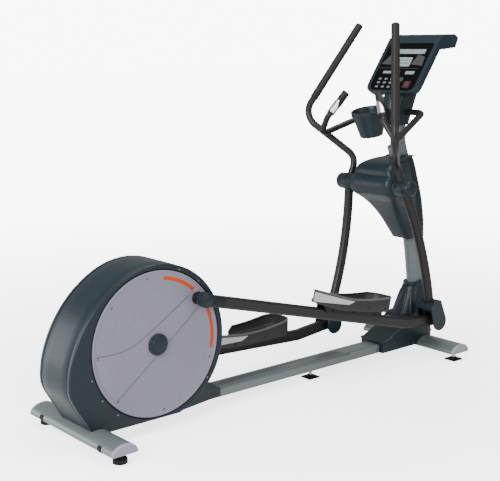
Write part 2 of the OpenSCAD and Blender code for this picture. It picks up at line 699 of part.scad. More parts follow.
// ---------- swing arms ----------
tube_r = 23;
upper_r = 17;
bow = 30;
bow_len = 650;
bow_r = (bow_len * bow_len / 4 + bow * bow) / (2 * bow);
upper_path = [[0, arm_y, 16], [8, 167, 123], [-190, 388, 298], [44, 318.6, 793]];
upper_bends = [0, 70, 90, 0];
function on_upper(t) = upper_path[2] + (upper_path[3] - upper_path[2]) * t;
grip_len = norm(on_upper(1) - on_upper(0.19));
module lower_tube(r) translate([bow - bow_r, arm_y, -bow_len / 2]) rotate([90, 0, 0])
    rotate([0, 0, -asin(bow_len / 2 / bow_r)])
        rotate_extrude(angle = 2 * asin(bow_len / 2 / bow_r), $fn = 240) translate([bow_r, 0])
            circle(r, $fn = 44);
module swing_arm(side) color(bronze) swing_frame(side) difference() {
    union() {
        difference() {
            union() {
                lower_tube(tube_r);
                bent_rod(upper_path, upper_bends, upper_r, $fn = 44);
            }
            lower_tube(tube_r - 3);
        }
        bar_y(hub_r, hub_in, hub_out);
        // fork that holds the pedal arm's front eye
        translate([-tube_r, arm_y - eye_half - 10.5, -672]) cube([2 * tube_r, 2 * eye_half + 21, 26]);
        for (y = [arm_y - eye_half - 10.5, arm_y + eye_half + 0.5]) {
            translate([0, 0, -rocker]) bar_y(24, y, y + 10);
            translate([-tube_r, y, -rocker]) cube([2 * tube_r, 10, rocker - 660]);
        }
    }
    bar_y(pivot_r + fit, 100, 300);
    translate([0, 0, -rocker]) bar_y(hinge_r, 100, 300);
}
module swing_arm_right() swing_arm(RIGHT);
module swing_arm_left() swing_arm(LEFT);
module swing_grip(side) color([0.20, 0.19, 0.18]) swing_frame(side) difference() {
    along(on_upper(0.19), on_upper(1)) rotate_extrude() polygon(concat([[0, 0], [upper_r + 2.5, 0]],
        [for (a = [0 : 10 : 90]) [(upper_r + 2.5) * cos(a), grip_len + 12 * sin(a)]]));
    rod(on_upper(0.15), on_upper(1), upper_r);
}
module swing_grip_right() swing_grip(RIGHT);
module swing_grip_left() swing_grip(LEFT);
module hub_cover(side) color(slate) swing_frame(side) difference() {
    rotate([-90, 0, 0]) rotate_extrude() polygon([[0, 242], [30, 242], [30, hub_in], [41, hub_in], [41, 235],
        [36, 243], [26, 247], [0, 247]]);
    lower_tube(tube_r + gap);
    bent_rod(upper_path, upper_bends, upper_r + gap);
}
module hub_cover_right() hub_cover(RIGHT);
module hub_cover_left() hub_cover(LEFT);
// Side outline of the joint cover about the lower joint, round below
module joint_outline(inset) {
    circle(46 - inset);
    polygon([[-46 + inset, 0], [46 - inset, 0], [40 - inset, 100 - inset], [-36 + inset, 110 - inset]]);
}
module joint_cover(side) color(slate) swing_frame(side) translate([0, arm_y, -rocker]) difference() {
    slab_y(-joint_cover_half, joint_cover_half) joint_outline(0);
    slab_y(-joint_cover_half + 3, joint_cover_half - 3) joint_outline(3);
    // rear and underside stay open for the pedal arm
    translate([-60, -joint_cover_half + 6, -60]) cube([50, 2 * joint_cover_half - 12, 142]);
    translate([-60, -joint_cover_half + 6, -60]) cube([85, 2 * joint_cover_half - 12, 40]);
    translate([0, -arm_y, rocker]) lower_tube(tube_r + gap);
}
module joint_cover_right() joint_cover(RIGHT);
module joint_cover_left() joint_cover(LEFT);
module joint_pin(side) color(steel) swing_frame(side) translate([0, arm_y, -rocker]) {
    bar_y(hinge_r, -eye_half - 16, eye_half + 16);
    for (y = [-eye_half - 16, eye_half + 11]) bar_y(13, y, y + 5);
}
module joint_pin_right() joint_pin(RIGHT);
module joint_pin_left() joint_pin(LEFT);

// ---------- pedal arms ----------
kink_x = -215;
kink_z = -28;
arm_depth = 52;
arm_width = 40;
kink = [kink_x, arm_y, kink_z];
arm_rear = [-coupler, pin_y, 0];
// Rounded box tube from point a to b, lying mainly along X
module box_tube(a, b, w, h, r) {
    d = b - a;
    translate(a) rotate([0, 0, atan2(-d[1], -d[0])]) rotate([0, atan2(d[2], norm([d[0], d[1]])), 0])
        rotate([0, -90, 0]) linear_extrude(norm(d)) round_rect(-h / 2, h / 2, -w / 2, w / 2, r);
}
function toward(a, b, l) = a + unit(b - a) * l;
module arm_outside() {
    box_tube(toward(kink, arm_rear, -2.2), toward(arm_rear, kink, 24), arm_width, arm_depth, 11);
    box_tube([0, arm_y, 0], toward(kink, [0, arm_y, 0], -2.2), arm_width - 0.6, arm_depth, 11);
}
module pedal_arm(side) color(bronze) arm_frame(side) difference() {
    union() {
        arm_outside();
        bar_y(arm_depth / 2 + 1.5, arm_y - eye_half, arm_y + eye_half);
    }
    box_tube(toward(kink, arm_rear, 12), toward(arm_rear, kink, 40), arm_width - 6, arm_depth - 6, 8);
    bar_y(hinge_r + fit, 100, 300);
    translate([-coupler, 0, 0]) bar_y(32, 120, 300);
}
module pedal_arm_right() pedal_arm(RIGHT);
module pedal_arm_left() pedal_arm(LEFT);
// Bearing head at the rear end of the pedal arm, facing the boss on the crank disc
module arm_head(side) color(slate) arm_frame(side) translate([-coupler, 0, 0]) {
    bar_y(32, boss_out + gap, 203);
    bar_y(27, 203, 209);
}
module arm_head_right() arm_head(RIGHT);
module arm_head_left() arm_head(LEFT);

// ---------- foot pedals ----------
// Each tray is drawn in its arm's frame with a long wall on the machine's right and a short one on its left,
// so both trays are alike although they hang on opposite sides
pedal_in = 66;
pedal_out = 230;
toe = -341;
heel_right = -891;
heel_left = -834;
short_end = -616;
wall = 7;
module pedal_plan(side, inset) {
    long_y = side == RIGHT ? pedal_out : pedal_in;
    short_y = side == RIGHT ? pedal_in : pedal_out;
    s = side == RIGHT ? -1 : 1;
    heel = side == RIGHT ? heel_right : heel_left;
    round_rect(-560, toe - inset, pedal_in + inset, pedal_out - inset, 66 - inset);
    polygon([[heel, long_y + s * inset], [-450, long_y + s * inset], [-450, short_y - s * inset],
        [short_end, short_y - s * inset]]);
}
// Side view of the pedal: wavy rim above, gently bowed underside
module pedal_profile() polygon([[-893, 38], [-820, 27], [-755, 18], [-689, 12], [-600, 13], [-430, 20], [-340, 26],
    [-340, 99], [-385, 96], [-430, 89], [-504, 79], [-560, 74], [-624, 72], [-700, 77], [-800, 88], [-893, 98]]);
module floor_profile() polygon([[-900, 55], [-820, 44], [-755, 36], [-689, 31], [-600, 31], [-430, 37], [-330, 43],
    [-330, 200], [-900, 200]]);
module foot_pedal(side) color([0.30, 0.30, 0.31]) arm_frame(side) difference() {
    union() {
        difference() {
            intersection() {
                linear_extrude(200) pedal_plan(side, 0);
                slab_y(0, 400) pedal_profile();
            }
            intersection() {
                union() {
                    linear_extrude(200) pedal_plan(side, wall);
                    // the slanted heel edge stays open
                    linear_extrude(200) polygon(side == RIGHT ?
                        [[-900, pedal_out - wall], [-600, pedal_out - wall], [-600, pedal_in + wall],
                            [short_end - 20, pedal_in - 1], [-900, pedal_in - 1]] :
                        [[-900, pedal_in + wall], [-600, pedal_in + wall], [-600, pedal_out - wall],
                            [short_end - 20, pedal_out + 1], [-900, pedal_out + 1]]);
                }
                slab_y(0, 400) floor_profile();
            }
        }
        // bracket down to the arm
        translate([-760, arm_y - 16, -2]) cube([330, 32, 26]);
    }
    box_tube(kink, toward(arm_rear, kink, 24), arm_width, arm_depth, 11);
    translate([-920, arm_y - 60, -102]) cube([600, 140, 100]);
}
module foot_pedal_right() foot_pedal(RIGHT);
module foot_pedal_left() foot_pedal(LEFT);

rear_rail();
front_rail();
rear_stabilizer();
front_stabilizer();
stabilizer_end_caps();
round_feet();
square_feet();
foot_studs();
wheel_forks();
wheel_axles();
transport_wheel_right();
transport_wheel_left();
mast();
pivot_axle();
drive_stand();
crank_bearings();
brake_unit();
drive_belt();
flywheel();
crank_axle();
crank_arms();
drive_pulley();
crank_disc_right();
crank_disc_left();
crank_hub_caps();
crank_pin_bosses();
housing_band();
housing_cover_right();
housing_cover_left();
rail_fairing();
base_cover();
shroud_front();
shroud_rear();
neck_cover();
fixed_handlebar();
pulse_grips();
pulse_sensors();
cup_holder();
console_shell();
console_face();
console_display();
start_key();
stop_key();
cover_screws();
swing_arm_right();
swing_grip_right();
hub_cover_right();
joint_cover_right();
joint_pin_right();
swing_arm_left();
swing_grip_left();
hub_cover_left();
joint_cover_left();
joint_pin_left();
pedal_arm_right();
arm_head_right();
foot_pedal_right();
pedal_arm_left();
arm_head_left();
foot_pedal_left();
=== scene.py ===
import bpy, math
import numpy as np
from mathutils import Matrix, Vector


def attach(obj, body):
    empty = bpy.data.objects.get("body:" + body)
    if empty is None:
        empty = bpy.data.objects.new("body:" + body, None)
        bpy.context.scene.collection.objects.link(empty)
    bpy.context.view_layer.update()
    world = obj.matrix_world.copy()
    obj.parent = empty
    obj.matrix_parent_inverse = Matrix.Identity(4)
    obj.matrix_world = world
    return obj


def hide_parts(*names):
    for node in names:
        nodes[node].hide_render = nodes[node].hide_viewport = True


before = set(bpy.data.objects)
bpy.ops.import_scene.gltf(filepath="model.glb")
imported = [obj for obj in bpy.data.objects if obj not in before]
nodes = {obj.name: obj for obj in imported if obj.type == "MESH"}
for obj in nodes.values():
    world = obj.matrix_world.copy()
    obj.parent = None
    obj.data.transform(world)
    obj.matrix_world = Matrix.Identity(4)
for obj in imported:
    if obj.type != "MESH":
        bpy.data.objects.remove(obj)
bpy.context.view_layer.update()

# ---------------------------------------------------------------- linkage, as in the CAD (metres)
D = 0.711                      # CAD lengths along X start this far behind the origin
CX, CR, CZ, PX, PZ, LC, LR, AY = 0.020, 0.2635, 0.3825, 1.422, 0.896, 1.464, 0.730, 0.184
CRANK_ANGLE = 38.2             # degrees, right crank pin above the horizontal
RIGHT, LEFT = -1, 1
NAME = {RIGHT: "right", LEFT: "left"}
rad = math.radians


def crank_turn(side):
    return rad(CRANK_ANGLE + (180 if side == LEFT else 0))


def linkage(side):
    a = crank_turn(side)
    px, pz = CX + CR * math.cos(a), CZ + CR * math.sin(a)
    dx, dz = PX - px, PZ - pz
    d = math.hypot(dx, dz)
    ux, uz = dx / d, dz / d
    al = (LC * LC - LR * LR + d * d) / (2 * d)
    dn = math.sqrt(LC * LC - al * al)
    jx, jz = px + ux * al + uz * dn, pz + uz * al - ux * dn
    return (px, pz), (jx, jz), math.atan2(jx - PX, PZ - jz), math.atan2(pz - jz, jx - px)


def place(x=0.0, y=0.0, z=0.0, turn=0.0):
    return Matrix.Translation((x - D, y, z)) @ Matrix.Rotation(turn, 4, "Y")


def mirror(side):
    return Matrix.Scale(-1, 4, (0, 1, 0)) if side == RIGHT else Matrix.Identity(4)


def at_swing(side):
    return place(PX, 0, PZ, -linkage(side)[2]) @ mirror(side)


def at_arm(side):
    _, j, _, e = linkage(side)
    return place(j[0], 0, j[1], e) @ mirror(side)


def at_crank(side):
    return place(CX, 0, CZ) @ mirror(side) @ Matrix.Rotation(-crank_turn(side), 4, "Y")


ROOT = place()
FACE = place(1.523, 0, 1.3596, -rad(54.7))      # console face: its lower edge, and its slope


# ---------------------------------------------------------------- mesh building
class Shape:
    """Collects quads and polygons, each with a material number."""

    def __init__(self):
        self.v, self.f, self.m = [], [], []

    def add(self, verts, faces, mat=0, M=None, flip=False):
        n = len(self.v)
        for p in verts:
            p = Vector(p)
            self.v.append(M @ p if M is not None else p)
        if M is not None and M.determinant() < 0:
            flip = not flip
        for f in faces:
            f = [n + i for i in f]
            self.f.append(f[::-1] if flip else f)
            self.m.append(mat)
        return self

    def loft(self, rings, mat=0, M=None, closed=True, caps=(True, True), flip=False, mats=None):
        """Skin through rings of equally many points; mats gives each band its own material."""
        k = len(rings[0])
        verts = [p for r in rings for p in r]
        for i in range(len(rings) - 1):
            faces = []
            for j in range(k if closed else k - 1):
                a, b = i * k + j, i * k + (j + 1) % k
                faces.append((a, b, b + k, a + k))
            self._band(verts, faces, mats[i] if mats else mat, M, flip, first=(i == 0))
        base = len(self.v) - len(verts)
        for cap, idx in ((caps[0], list(range(k))[::-1]),
                         (caps[1], [(len(rings) - 1) * k + j for j in range(k)])):
            if cap:
                f = [base + i for i in idx]
                fl = flip != (M is not None and M.determinant() < 0)
                self.f.append(f[::-1] if fl else f)
                self.m.append(mats[0 if idx[0] < k else -1] if mats else mat)
        return self

    def _band(self, verts, faces, mat, M, flip, first):
        if first:
            self.add(verts, [], mat, M, flip)
        base = len(self.v) - len(verts)
        fl = flip != (M is not None and M.determinant() < 0)
        for f in faces:
            f = [base + i for i in f]
            self.f.append(f[::-1] if fl else f)
            self.m.append(mat)

    def make(self, name, body, mats, slot=None, replaces=(), angle=38, bevel=0.0, sub=0, weld=False):
        me = bpy.data.meshes.new(name)
        me.from_pydata([tuple(p) for p in self.v], [], self.f)
        me.update()
        for m in mats if isinstance(mats, (list, tuple)) else [mats]:
            me.materials.append(m)
        for p, i in zip(me.polygons, self.m):
            p.material_index = i
            p.use_smooth = True
        me.validate()
        me.set_sharp_from_angle(angle=rad(angle))
        ob = bpy.data.objects.new(name, me)
        bpy.context.scene.collection.objects.link(ob)
        if weld:
            ob.modifiers.new("weld", "WELD").merge_threshold = 2e-5
        if bevel:
            b = ob.modifiers.new("bevel", "BEVEL")
            b.width, b.segments, b.limit_method, b.angle_limit = bevel, 3, "ANGLE", rad(30)
            b.harden_normals = True
        if sub:
            s = ob.modifiers.new("sub", "SUBSURF")
            s.levels = s.render_levels = sub
        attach(ob, body)
        if replaces:
            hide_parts(*replaces)
        return ob


def ring(pts2, fn):
    return [fn(p) for p in pts2]


def rrect(w, h, r, n=6, cx=0.0, cy=0.0):
    """Rounded rectangle, anticlockwise."""
    out = []
    for sx, sy, a0 in ((1, 1, 0), (-1, 1, 90), (-1, -1, 180), (1, -1, 270)):
        for k in range(n + 1):
            a = rad(a0 + 90 * k / n)
            out.append((cx + sx * (w / 2 - r) + r * math.cos(a), cy + sy * (h / 2 - r) + r * math.sin(a)))
    return out


def inset(pts, d):
    """Closed anticlockwise outline moved inwards by d, corner by corner."""
    out, n = [], len(pts)
    for i in range(n):
        a, p, b = Vector(pts[i - 1]), Vector(pts[i]), Vector(pts[(i + 1) % n])
        u, v = (p - a), (b - p)
        if u.length < 1e-9 or v.length < 1e-9:
            out.append(tuple(p))
            continue
        u.normalize()
        v.normalize()
        nu, nv = Vector((-u.y, u.x)), Vector((-v.y, v.x))
        m = nu + nv
        m = m / max(m.length_squared / 2, 0.35)
        out.append(tuple(p + m * d))
    return out


def lathe_y(sh, prof, n=64, mat=0, M=None, x=0.0, z=0.0, caps=(True, True), mats=None):
    """Profile of (radius, y) turned about a line along Y; y grows along the list."""
    rings = [[(x + max(r, 1e-5) * math.cos(2 * math.pi * k / n), y,
               z + max(r, 1e-5) * math.sin(2 * math.pi * k / n)) for k in range(n)]
             for r, y in prof]
    sh.loft(rings, mat, M, caps=caps, mats=mats)
    return sh


def lerp(a, b, t):
    return a + (b - a) * t


def curve_at(points, x):
    """Smooth value through (x, value) points, monotone cubic."""
    xs, ys = [p[0] for p in points], [p[1] for p in points]
    if x <= xs[0]:
        return ys[0]
    if x >= xs[-1]:
        return ys[-1]
    d = [(ys[i + 1] - ys[i]) / (xs[i + 1] - xs[i]) for i in range(len(xs) - 1)]
    m = [d[0]] + [0 if d[i - 1] * d[i] <= 0 else 2 / (1 / d[i - 1] + 1 / d[i]) for i in range(1,
            len(d))] + [d[-1]]
    i = max(k for k in range(len(xs) - 1) if xs[k] <= x)
    h = xs[i + 1] - xs[i]
    t = (x - xs[i]) / h
    return ((2 * t**3 - 3 * t**2 + 1) * ys[i] + (t**3 - 2 * t**2 + t) * h * m[i]
            + (-2 * t**3 + 3 * t**2) * ys[i + 1] + (t**3 - t**2) * h * m[i + 1])


# ---------------------------------------------------------------- materials
class Mat:
    """Small node-tree helper around one Principled shader."""

    def __init__(self, name, rough=0.4, metal=0.0, **sockets):
        self.mat = bpy.data.materials.new(name)
        self.mat.use_nodes = True
        self.t = self.mat.node_tree
        self.b = self.t.nodes["Principled BSDF"]
        self.b.inputs["Roughness"].default_value = rough
        self.b.inputs["Metallic"].default_value = metal
        for k, v in sockets.items():
            self.b.inputs[k.replace("_", " ")].default_value = v
        self.co = self.node("ShaderNodeTexCoord").outputs["Object"]

    def node(self, kind, **props):
        n = self.t.nodes.new(kind)
        for k, v in props.items():
            setattr(n, k, v)
        return n

    def link(self, a, b):
        self.t.links.new(a, b)

    def scaled(self, s):
        n = self.node("ShaderNodeMapping")
        n.inputs["Scale"].default_value = s
        self.link(self.co, n.inputs["Vector"])
        return n.outputs["Vector"]

    def noise(self, scale, detail=3.0, rough=0.55, vec=None, dist=0.0):
        n = self.node("ShaderNodeTexNoise")
        n.inputs["Scale"].default_value = scale
        n.inputs["Detail"].default_value = detail
        n.inputs["Roughness"].default_value = rough
        n.inputs["Distortion"].default_value = dist
        self.link(vec if vec is not None else self.co, n.inputs["Vector"])
        return n.outputs["Fac"]

    def ramp(self, fac, stops, interp="LINEAR"):
        n = self.node("ShaderNodeValToRGB")
        n.color_ramp.interpolation = interp
        e = n.color_ramp.elements
        while len(e) < len(stops):
            e.new(0.5)
        for el, (p, c) in zip(e, stops):
            el.position = p
            el.color = (c[0], c[1], c[2], 1) if isinstance(c, (tuple, list)) else (c, c, c, 1)
        self.link(fac, n.inputs["Fac"])
        return n.outputs["Color"]

    def maths(self, op, a, b=None, clamp=False):
        n = self.node("ShaderNodeMath", operation=op, use_clamp=clamp)
        for i, x in enumerate([a] if b is None else [a, b]):
            if isinstance(x, (int, float)):
                n.inputs[i].default_value = x
            else:
                self.link(x, n.inputs[i])
        return n.outputs[0]

    def mix(self, fac, a, b, blend="MIX"):
        n = self.node("ShaderNodeMix", data_type="RGBA", blend_type=blend)
        for k, x in ((0, fac), (6, a), (7, b)):
            if isinstance(x, (int, float)):
                n.inputs[k].default_value = x
            elif isinstance(x, (tuple, list)):
                n.inputs[k].default_value = (*x[:3], 1)
            else:
                self.link(x, n.inputs[k])
        return n.outputs[2]

    def colour(self, c):
        self.link(c, self.b.inputs["Base Color"])

    def rough(self, r):
        self.link(r, self.b.inputs["Roughness"])

    def bump(self, height, dist, strength=1.0, prev=None):
        n = self.node("ShaderNodeBump")
        n.inputs["Distance"].default_value = dist
        n.inputs["Strength"].default_value = strength
        self.link(height, n.inputs["Height"])
        if prev is not None:
            self.link(prev, n.inputs["Normal"])
        self.link(n.outputs["Normal"], self.b.inputs["Normal"])
        return n.outputs["Normal"]

    def edges(self, lo=0.505, hi=0.56):
        g = self.node("ShaderNodeNewGeometry")
        return self.ramp(g.outputs["Pointiness"], [(lo, 0.0), (hi, 1.0)])


def shade(c, k):
    return tuple(min(1, x * k) for x in c)


def plastic(name, c, rough=0.42, grain=1500.0, depth=0.00006, spec=0.5, var=0.10, coat=0.0, wear=0.5):
    """Moulded plastic: fine spark-eroded grain, faint flow marks, scuffed lighter edges."""
    m = Mat(name, rough, 0.0, Specular_IOR_Level=spec, Coat_Weight=coat, Coat_Roughness=0.25)
    big, mid, fine = m.noise(3.2, 2.0), m.noise(38.0, 4.0, 0.6), m.noise(grain, 2.0, 0.7)
    base = m.mix(big, shade(c, 1 - var), shade(c, 1 + var))
    base = m.mix(m.ramp(mid, [(0.42, 0.0), (0.72, 1.0)]), base, shade(c, 1.0 + var * 1.3))
    e = m.maths("MULTIPLY", m.edges(), wear)
    m.colour(m.mix(e, base, shade(c, 1.9)))
    r = m.maths("MULTIPLY_ADD", mid, 0.16)
    r.node.inputs[2].default_value = rough - 0.08
    m.rough(r)
    m.bump(fine, depth, 0.6)
    return m.mat


def paint(name, c, rough=0.34, metal=0.35, flake=900.0, coat=0.35, var=0.05, peel=0.00005, spec=0.3):
    """Powder or metallic paint: flakes, orange peel and slightly thin edges."""
    m = Mat(name, rough, metal, Coat_Weight=coat, Coat_Roughness=0.16, Specular_IOR_Level=spec)
    v = m.node("ShaderNodeTexVoronoi")
    v.inputs["Scale"].default_value = flake
    m.link(m.co, v.inputs["Vector"])
    fl = m.ramp(v.outputs["Color"], [(0.2, 0.0), (0.9, 1.0)])
    big, peelh = m.noise(4.0, 2.0), m.noise(260.0, 2.0, 0.5)
    base = m.mix(big, shade(c, 1 - var), shade(c, 1 + var))
    base = m.mix(m.maths("MULTIPLY", fl, 0.22), base, shade(c, 1.35))
    m.colour(m.mix(m.maths("MULTIPLY", m.edges(), 0.35), base, shade(c, 1.5)))
    r = m.maths("MULTIPLY_ADD", m.noise(55.0, 3.0), 0.12)
    r.node.inputs[2].default_value = rough - 0.06
    m.rough(r)
    m.bump(peelh, peel, 0.5)
    return m.mat


def rubber(name, c, rough=0.62, grain=700.0, depth=0.00012):
    m = Mat(name, rough, 0.0, Specular_IOR_Level=0.2)
    fine, mid = m.noise(grain, 3.0, 0.7), m.noise(26.0, 4.0, 0.6)
    base = m.mix(mid, shade(c, 0.82), shade(c, 1.25))
    m.colour(m.mix(m.maths("MULTIPLY", m.edges(), 0.5), base, shade(c, 2.0)))
    r = m.maths("MULTIPLY_ADD", mid, 0.2)
    r.node.inputs[2].default_value = rough - 0.1
    m.rough(r)
    m.bump(fine, depth, 0.7)
    return m.mat


def metal(name, c, rough=0.3, brush=(40.0, 1400.0, 1400.0), depth=0.00003, spots=0.25):
    m = Mat(name, rough, 1.0)
    br = m.noise(1.0, 3.0, 0.6, vec=m.scaled(brush))
    mid = m.noise(60.0, 4.0)
    base = m.mix(br, shade(c, 0.86), shade(c, 1.12))
    base = m.mix(m.maths("MULTIPLY", m.ramp(mid, [(0.5, 0.0), (0.8, 1.0)]), spots), base, shade(c, 0.7))
    m.colour(base)
    r = m.maths("MULTIPLY_ADD", br, 0.18)
    r.node.inputs[2].default_value = rough - 0.07
    m.rough(r)
    m.bump(br, depth, 0.5)
    return m.mat


SLATE = plastic("slate_plastic", (0.0066, 0.0132, 0.0176), 0.36, spec=0.22, var=0.08)
SLATE_DEEP = plastic("slate_plastic_deep", (0.0040, 0.0075, 0.0105), 0.42, spec=0.2, var=0.08)
SILVER = paint("frame_silver_paint", (0.105, 0.124, 0.128), 0.36, 0.35, coat=0.2, var=0.04)
CAP = plastic("end_cap_plastic", (0.22, 0.21, 0.26), 0.42, spec=0.3, var=0.05, wear=0.1)
DISC = plastic("disc_plastic", (0.160, 0.154, 0.195), 0.40, grain=1800.0, depth=0.00004, spec=0.3, var=0.05,
               wear=0.15)
BRONZE = paint("bronze_paint", (0.012, 0.0108, 0.0103), 0.40, 0.3, coat=0.05, var=0.06)
GRIP = rubber("grip_rubber", (0.0080, 0.0068, 0.0066), 0.5)
BLACK = plastic("black_plastic", (0.0035, 0.0040, 0.0046), 0.42, spec=0.2, var=0.15)
RUBBER = rubber("foot_rubber", (0.0045, 0.0045, 0.0050), 0.6)
ZINC = metal("zinc_steel", (0.62, 0.63, 0.65), 0.30)
CHROME = metal("polished_steel", (0.80, 0.81, 0.83), 0.12, spots=0.05)
STAND = paint("stand_paint", (0.06, 0.065, 0.07), 0.5, 0.1)
CASTM = metal("machined_iron", (0.20, 0.20, 0.21), 0.42)
PEDAL = plastic("pedal_plastic", (0.020, 0.020, 0.0205), 0.48, spec=0.25, grain=900.0, depth=0.00012,
                var=0.10, wear=0.6)
PEDAL_RIM = plastic("pedal_rim", (0.075, 0.075, 0.077), 0.42, spec=0.3, var=0.08)
TRIM = plastic("pedal_trim", (0.36, 0.36, 0.37), 0.34, var=0.04, wear=0.1)
ORANGE = plastic("orange_mark", (0.42, 0.042, 0.001), 0.50, spec=0.15, var=0.08, wear=0.1)
GLOSSF = plastic("console_gloss", (0.0012, 0.0015, 0.0020), 0.30, spec=0.06, grain=60.0, depth=0.00001,
                 var=0.1, wear=0.02)
SCREW = metal("dark_screws", (0.16, 0.17, 0.18), 0.35)


# ---------------------------------------------------------------- camera, light and floor
CAMERA_AT = (-2.3616, -3.6791, 1.6275)         # X as in the linkage, before the shift by D
CAMERA_TURN = (50.966, -10.84, -0.894)         # yaw, pitch and roll in degrees
SENSOR, LENS = 36.0, 77.2                      # mm


def camera():
    yaw, pitch, roll = (rad(a) for a in CAMERA_TURN)
    f = Vector((math.cos(yaw) * math.cos(pitch), math.sin(yaw) * math.cos(pitch), math.sin(pitch)))
    r = f.cross(Vector((0, 0, 1))).normalized()
    u = r.cross(f)
    r2, u2 = r * math.cos(roll) + u * math.sin(roll), u * math.cos(roll) - r * math.sin(roll)
    cam = bpy.data.objects.new("camera", bpy.data.cameras.new("camera"))
    M = Matrix((r2, u2, -f)).transposed().to_4x4()
    M.translation = Vector(CAMERA_AT) - Vector((D, 0, 0))
    cam.matrix_world = M
    cam.data.sensor_width, cam.data.lens = SENSOR, LENS
    cam.data.clip_start, cam.data.clip_end = 0.1, 60.0
    bpy.context.scene.collection.objects.link(cam)
    bpy.context.scene.camera = cam


def area(name, loc, target, size, power, colour=(1, 1, 1)):
    light = bpy.data.lights.new(name, "AREA")
    light.shape, light.size, light.size_y, light.energy, light.color = "RECTANGLE", size[0], size[1], power, colour
    ob = bpy.data.objects.new(name, light)
    ob.location = loc
    ob.rotation_mode = "QUATERNION"
    ob.rotation_quaternion = (Vector(target) - Vector(loc)).to_track_quat("-Z", "Y")
    bpy.context.scene.collection.objects.link(ob)


def studio():
    world = bpy.data.worlds.new("studio")
    world.use_nodes = True
    t = world.node_tree
    bg = t.nodes["Background"]
    bg.inputs["Color"].default_value = (1.0, 1.0, 1.0, 1)
    path, m = t.nodes.new("ShaderNodeLightPath"), t.nodes.new("ShaderNodeMapRange")
    # soft on the object, white behind it
    m.inputs["To Min"].default_value, m.inputs["To Max"].default_value = 0.50, 9.0
    t.links.new(path.outputs["Is Camera Ray"], m.inputs["Value"])
    t.links.new(m.outputs["Result"], bg.inputs["Strength"])
    bpy.context.scene.world = world
    area("key", (-4.2, -1.2, 2.6), (-0.5, 0, 0.6), (2.2, 2.6), 330)
    area("top", (0.2, -0.6, 4.4), (0.1, 0, 0.3), (3.0, 2.6), 170)
    area("fill", (0.8, -4.6, 2.2), (0.2, 0, 0.5), (3.0, 2.0), 80)
    area("rim", (-3.0, 3.4, 0.9), (-1.0, 0.0, 0.45), (1.6, 2.2), 55)
    # floor: matte, with a painted glow seen only by camera rays; the glow is dimmer near the machine, a painted
    # shade round it, and brighter away from it
    m = Mat("floor_painted_glow", 0.8, 0.0, Specular_IOR_Level=0.05)
    m.colour(m.mix(m.noise(1.1, 2.0), (0.86, 0.86, 0.865), (0.90, 0.90, 0.90)))
    m.bump(m.noise(140.0, 3.0), 0.0002, 0.2)
    e, add, out = m.node("ShaderNodeEmission"), m.node("ShaderNodeAddShader"), m.t.nodes["Material Output"]
    k = m.node("ShaderNodeMapRange")
    far = m.node("ShaderNodeVectorMath",
                 operation="LENGTH")      # the sweep grows brighter away from the machine
    m.link(m.co, far.inputs[0])
    k.inputs["From Min"].default_value, k.inputs["From Max"].default_value = 0.9, 5.5
    k.inputs["To Min"].default_value, k.inputs["To Max"].default_value = 2.6, 8.2
    m.link(far.outputs["Value"], k.inputs["Value"])
    m.link(m.maths("MULTIPLY", k.outputs["Result"], m.node("ShaderNodeLightPath").outputs["Is Camera Ray"]),
           e.inputs["Strength"])
    m.link(m.b.outputs[0], add.inputs[0])
    m.link(e.outputs[0], add.inputs[1])
    m.link(add.outputs[0], out.inputs["Surface"])
    sh = Shape()
    g = 40.0
    sh.add([(-g, -g, 0), (g, -g, 0), (g, g, 0), (-g, g, 0)], [(0, 1, 2, 3)])
    me = bpy.data.meshes.new("floor")
    me.from_pydata([tuple(v) for v in sh.v], [], sh.f)
    me.materials.append(m.mat)
    ob = bpy.data.objects.new("floor", me)
    bpy.context.scene.collection.objects.link(ob)


camera()
studio()
# ---------------------------------------------------------------- drum housing
def cad_mod(names, width=0.002, segs=2, angle=32):
    """Softened edges on CAD nodes that are shown as they are."""
    for n in names:
        ob = nodes[n]
        ob.modifiers.new("weld", "WELD").merge_threshold = 2e-5
        b = ob.modifiers.new("bevel", "BEVEL")
        b.width, b.segments, b.limit_method, b.angle_limit, b.harden_normals = width, segs, "ANGLE", rad(angle), True


FC, FR, RR, BL, HZ = (0.027, 0.3805), 0.336, 0.506, rad(117), 0.059
RC = (FC[0] - (RR - FR) * math.cos(BL), FC[1] - (RR - FR) * math.sin(BL))
BACK = [FC, (FC[0] + 0.36 * math.cos(BL), FC[1] + 0.36 * math.sin(BL)), (-0.600, 0.700), (-0.600, 0.247),
        (-0.402, 0.247),
        (-0.294, 0.062), (-0.290, 0.040), (0.020, 0.040)]


def inside(x, z, poly):
    c = False
    for i in range(len(poly)):
        (x1, z1), (x2, z2) = poly[i - 1], poly[i]
        if (z1 > z) != (z2 > z) and x < (x2 - x1) * (z - z1) / (z2 - z1) + x1:
            c = not c
    return c


def in_housing(x, z):
    if z < HZ:
        return False
    return math.hypot(x - FC[0], z - FC[1]) <= FR or (math.hypot(x - RC[0], z - RC[1]) <= RR and inside(x, z,
            BACK))


def housing_angles():
    a = [2 * math.pi * k / 288 for k in range(288)]
    bx = FC[0] + math.sqrt(FR**2 - (FC[1] - HZ) ** 2)
    for x, z in ((bx, HZ), (-0.2935, HZ), (-0.4015, 0.247)):
        t = math.atan2(z - CZ, x - CX) % (2 * math.pi)
        a = [q for q in a if abs(q - t) > 0.012] + [t - 0.004, t, t + 0.004]
    return sorted(a)


HA = housing_angles()


def housing_ring():
    out = []
    for a in HA:
        lo_, hi_ = 0.2, 0.7
        for _ in range(26):
            m = (lo_ + hi_) / 2
            if in_housing(CX + m * math.cos(a), CZ + m * math.sin(a)):
                lo_ = m
            else:
                hi_ = m
        out.append((CX + lo_ * math.cos(a), CZ + lo_ * math.sin(a)))
    for _ in range(40):            # softens the turn low at the back
        out = [tuple((Vector(out[i - 1]) + Vector(p) * 2 + Vector(out[(i + 1) % len(out)])) / 4)
               if p[0] < -0.33 and 0.165 < p[1] < 0.34 else p
               for i, p in enumerate(out)]
    return out


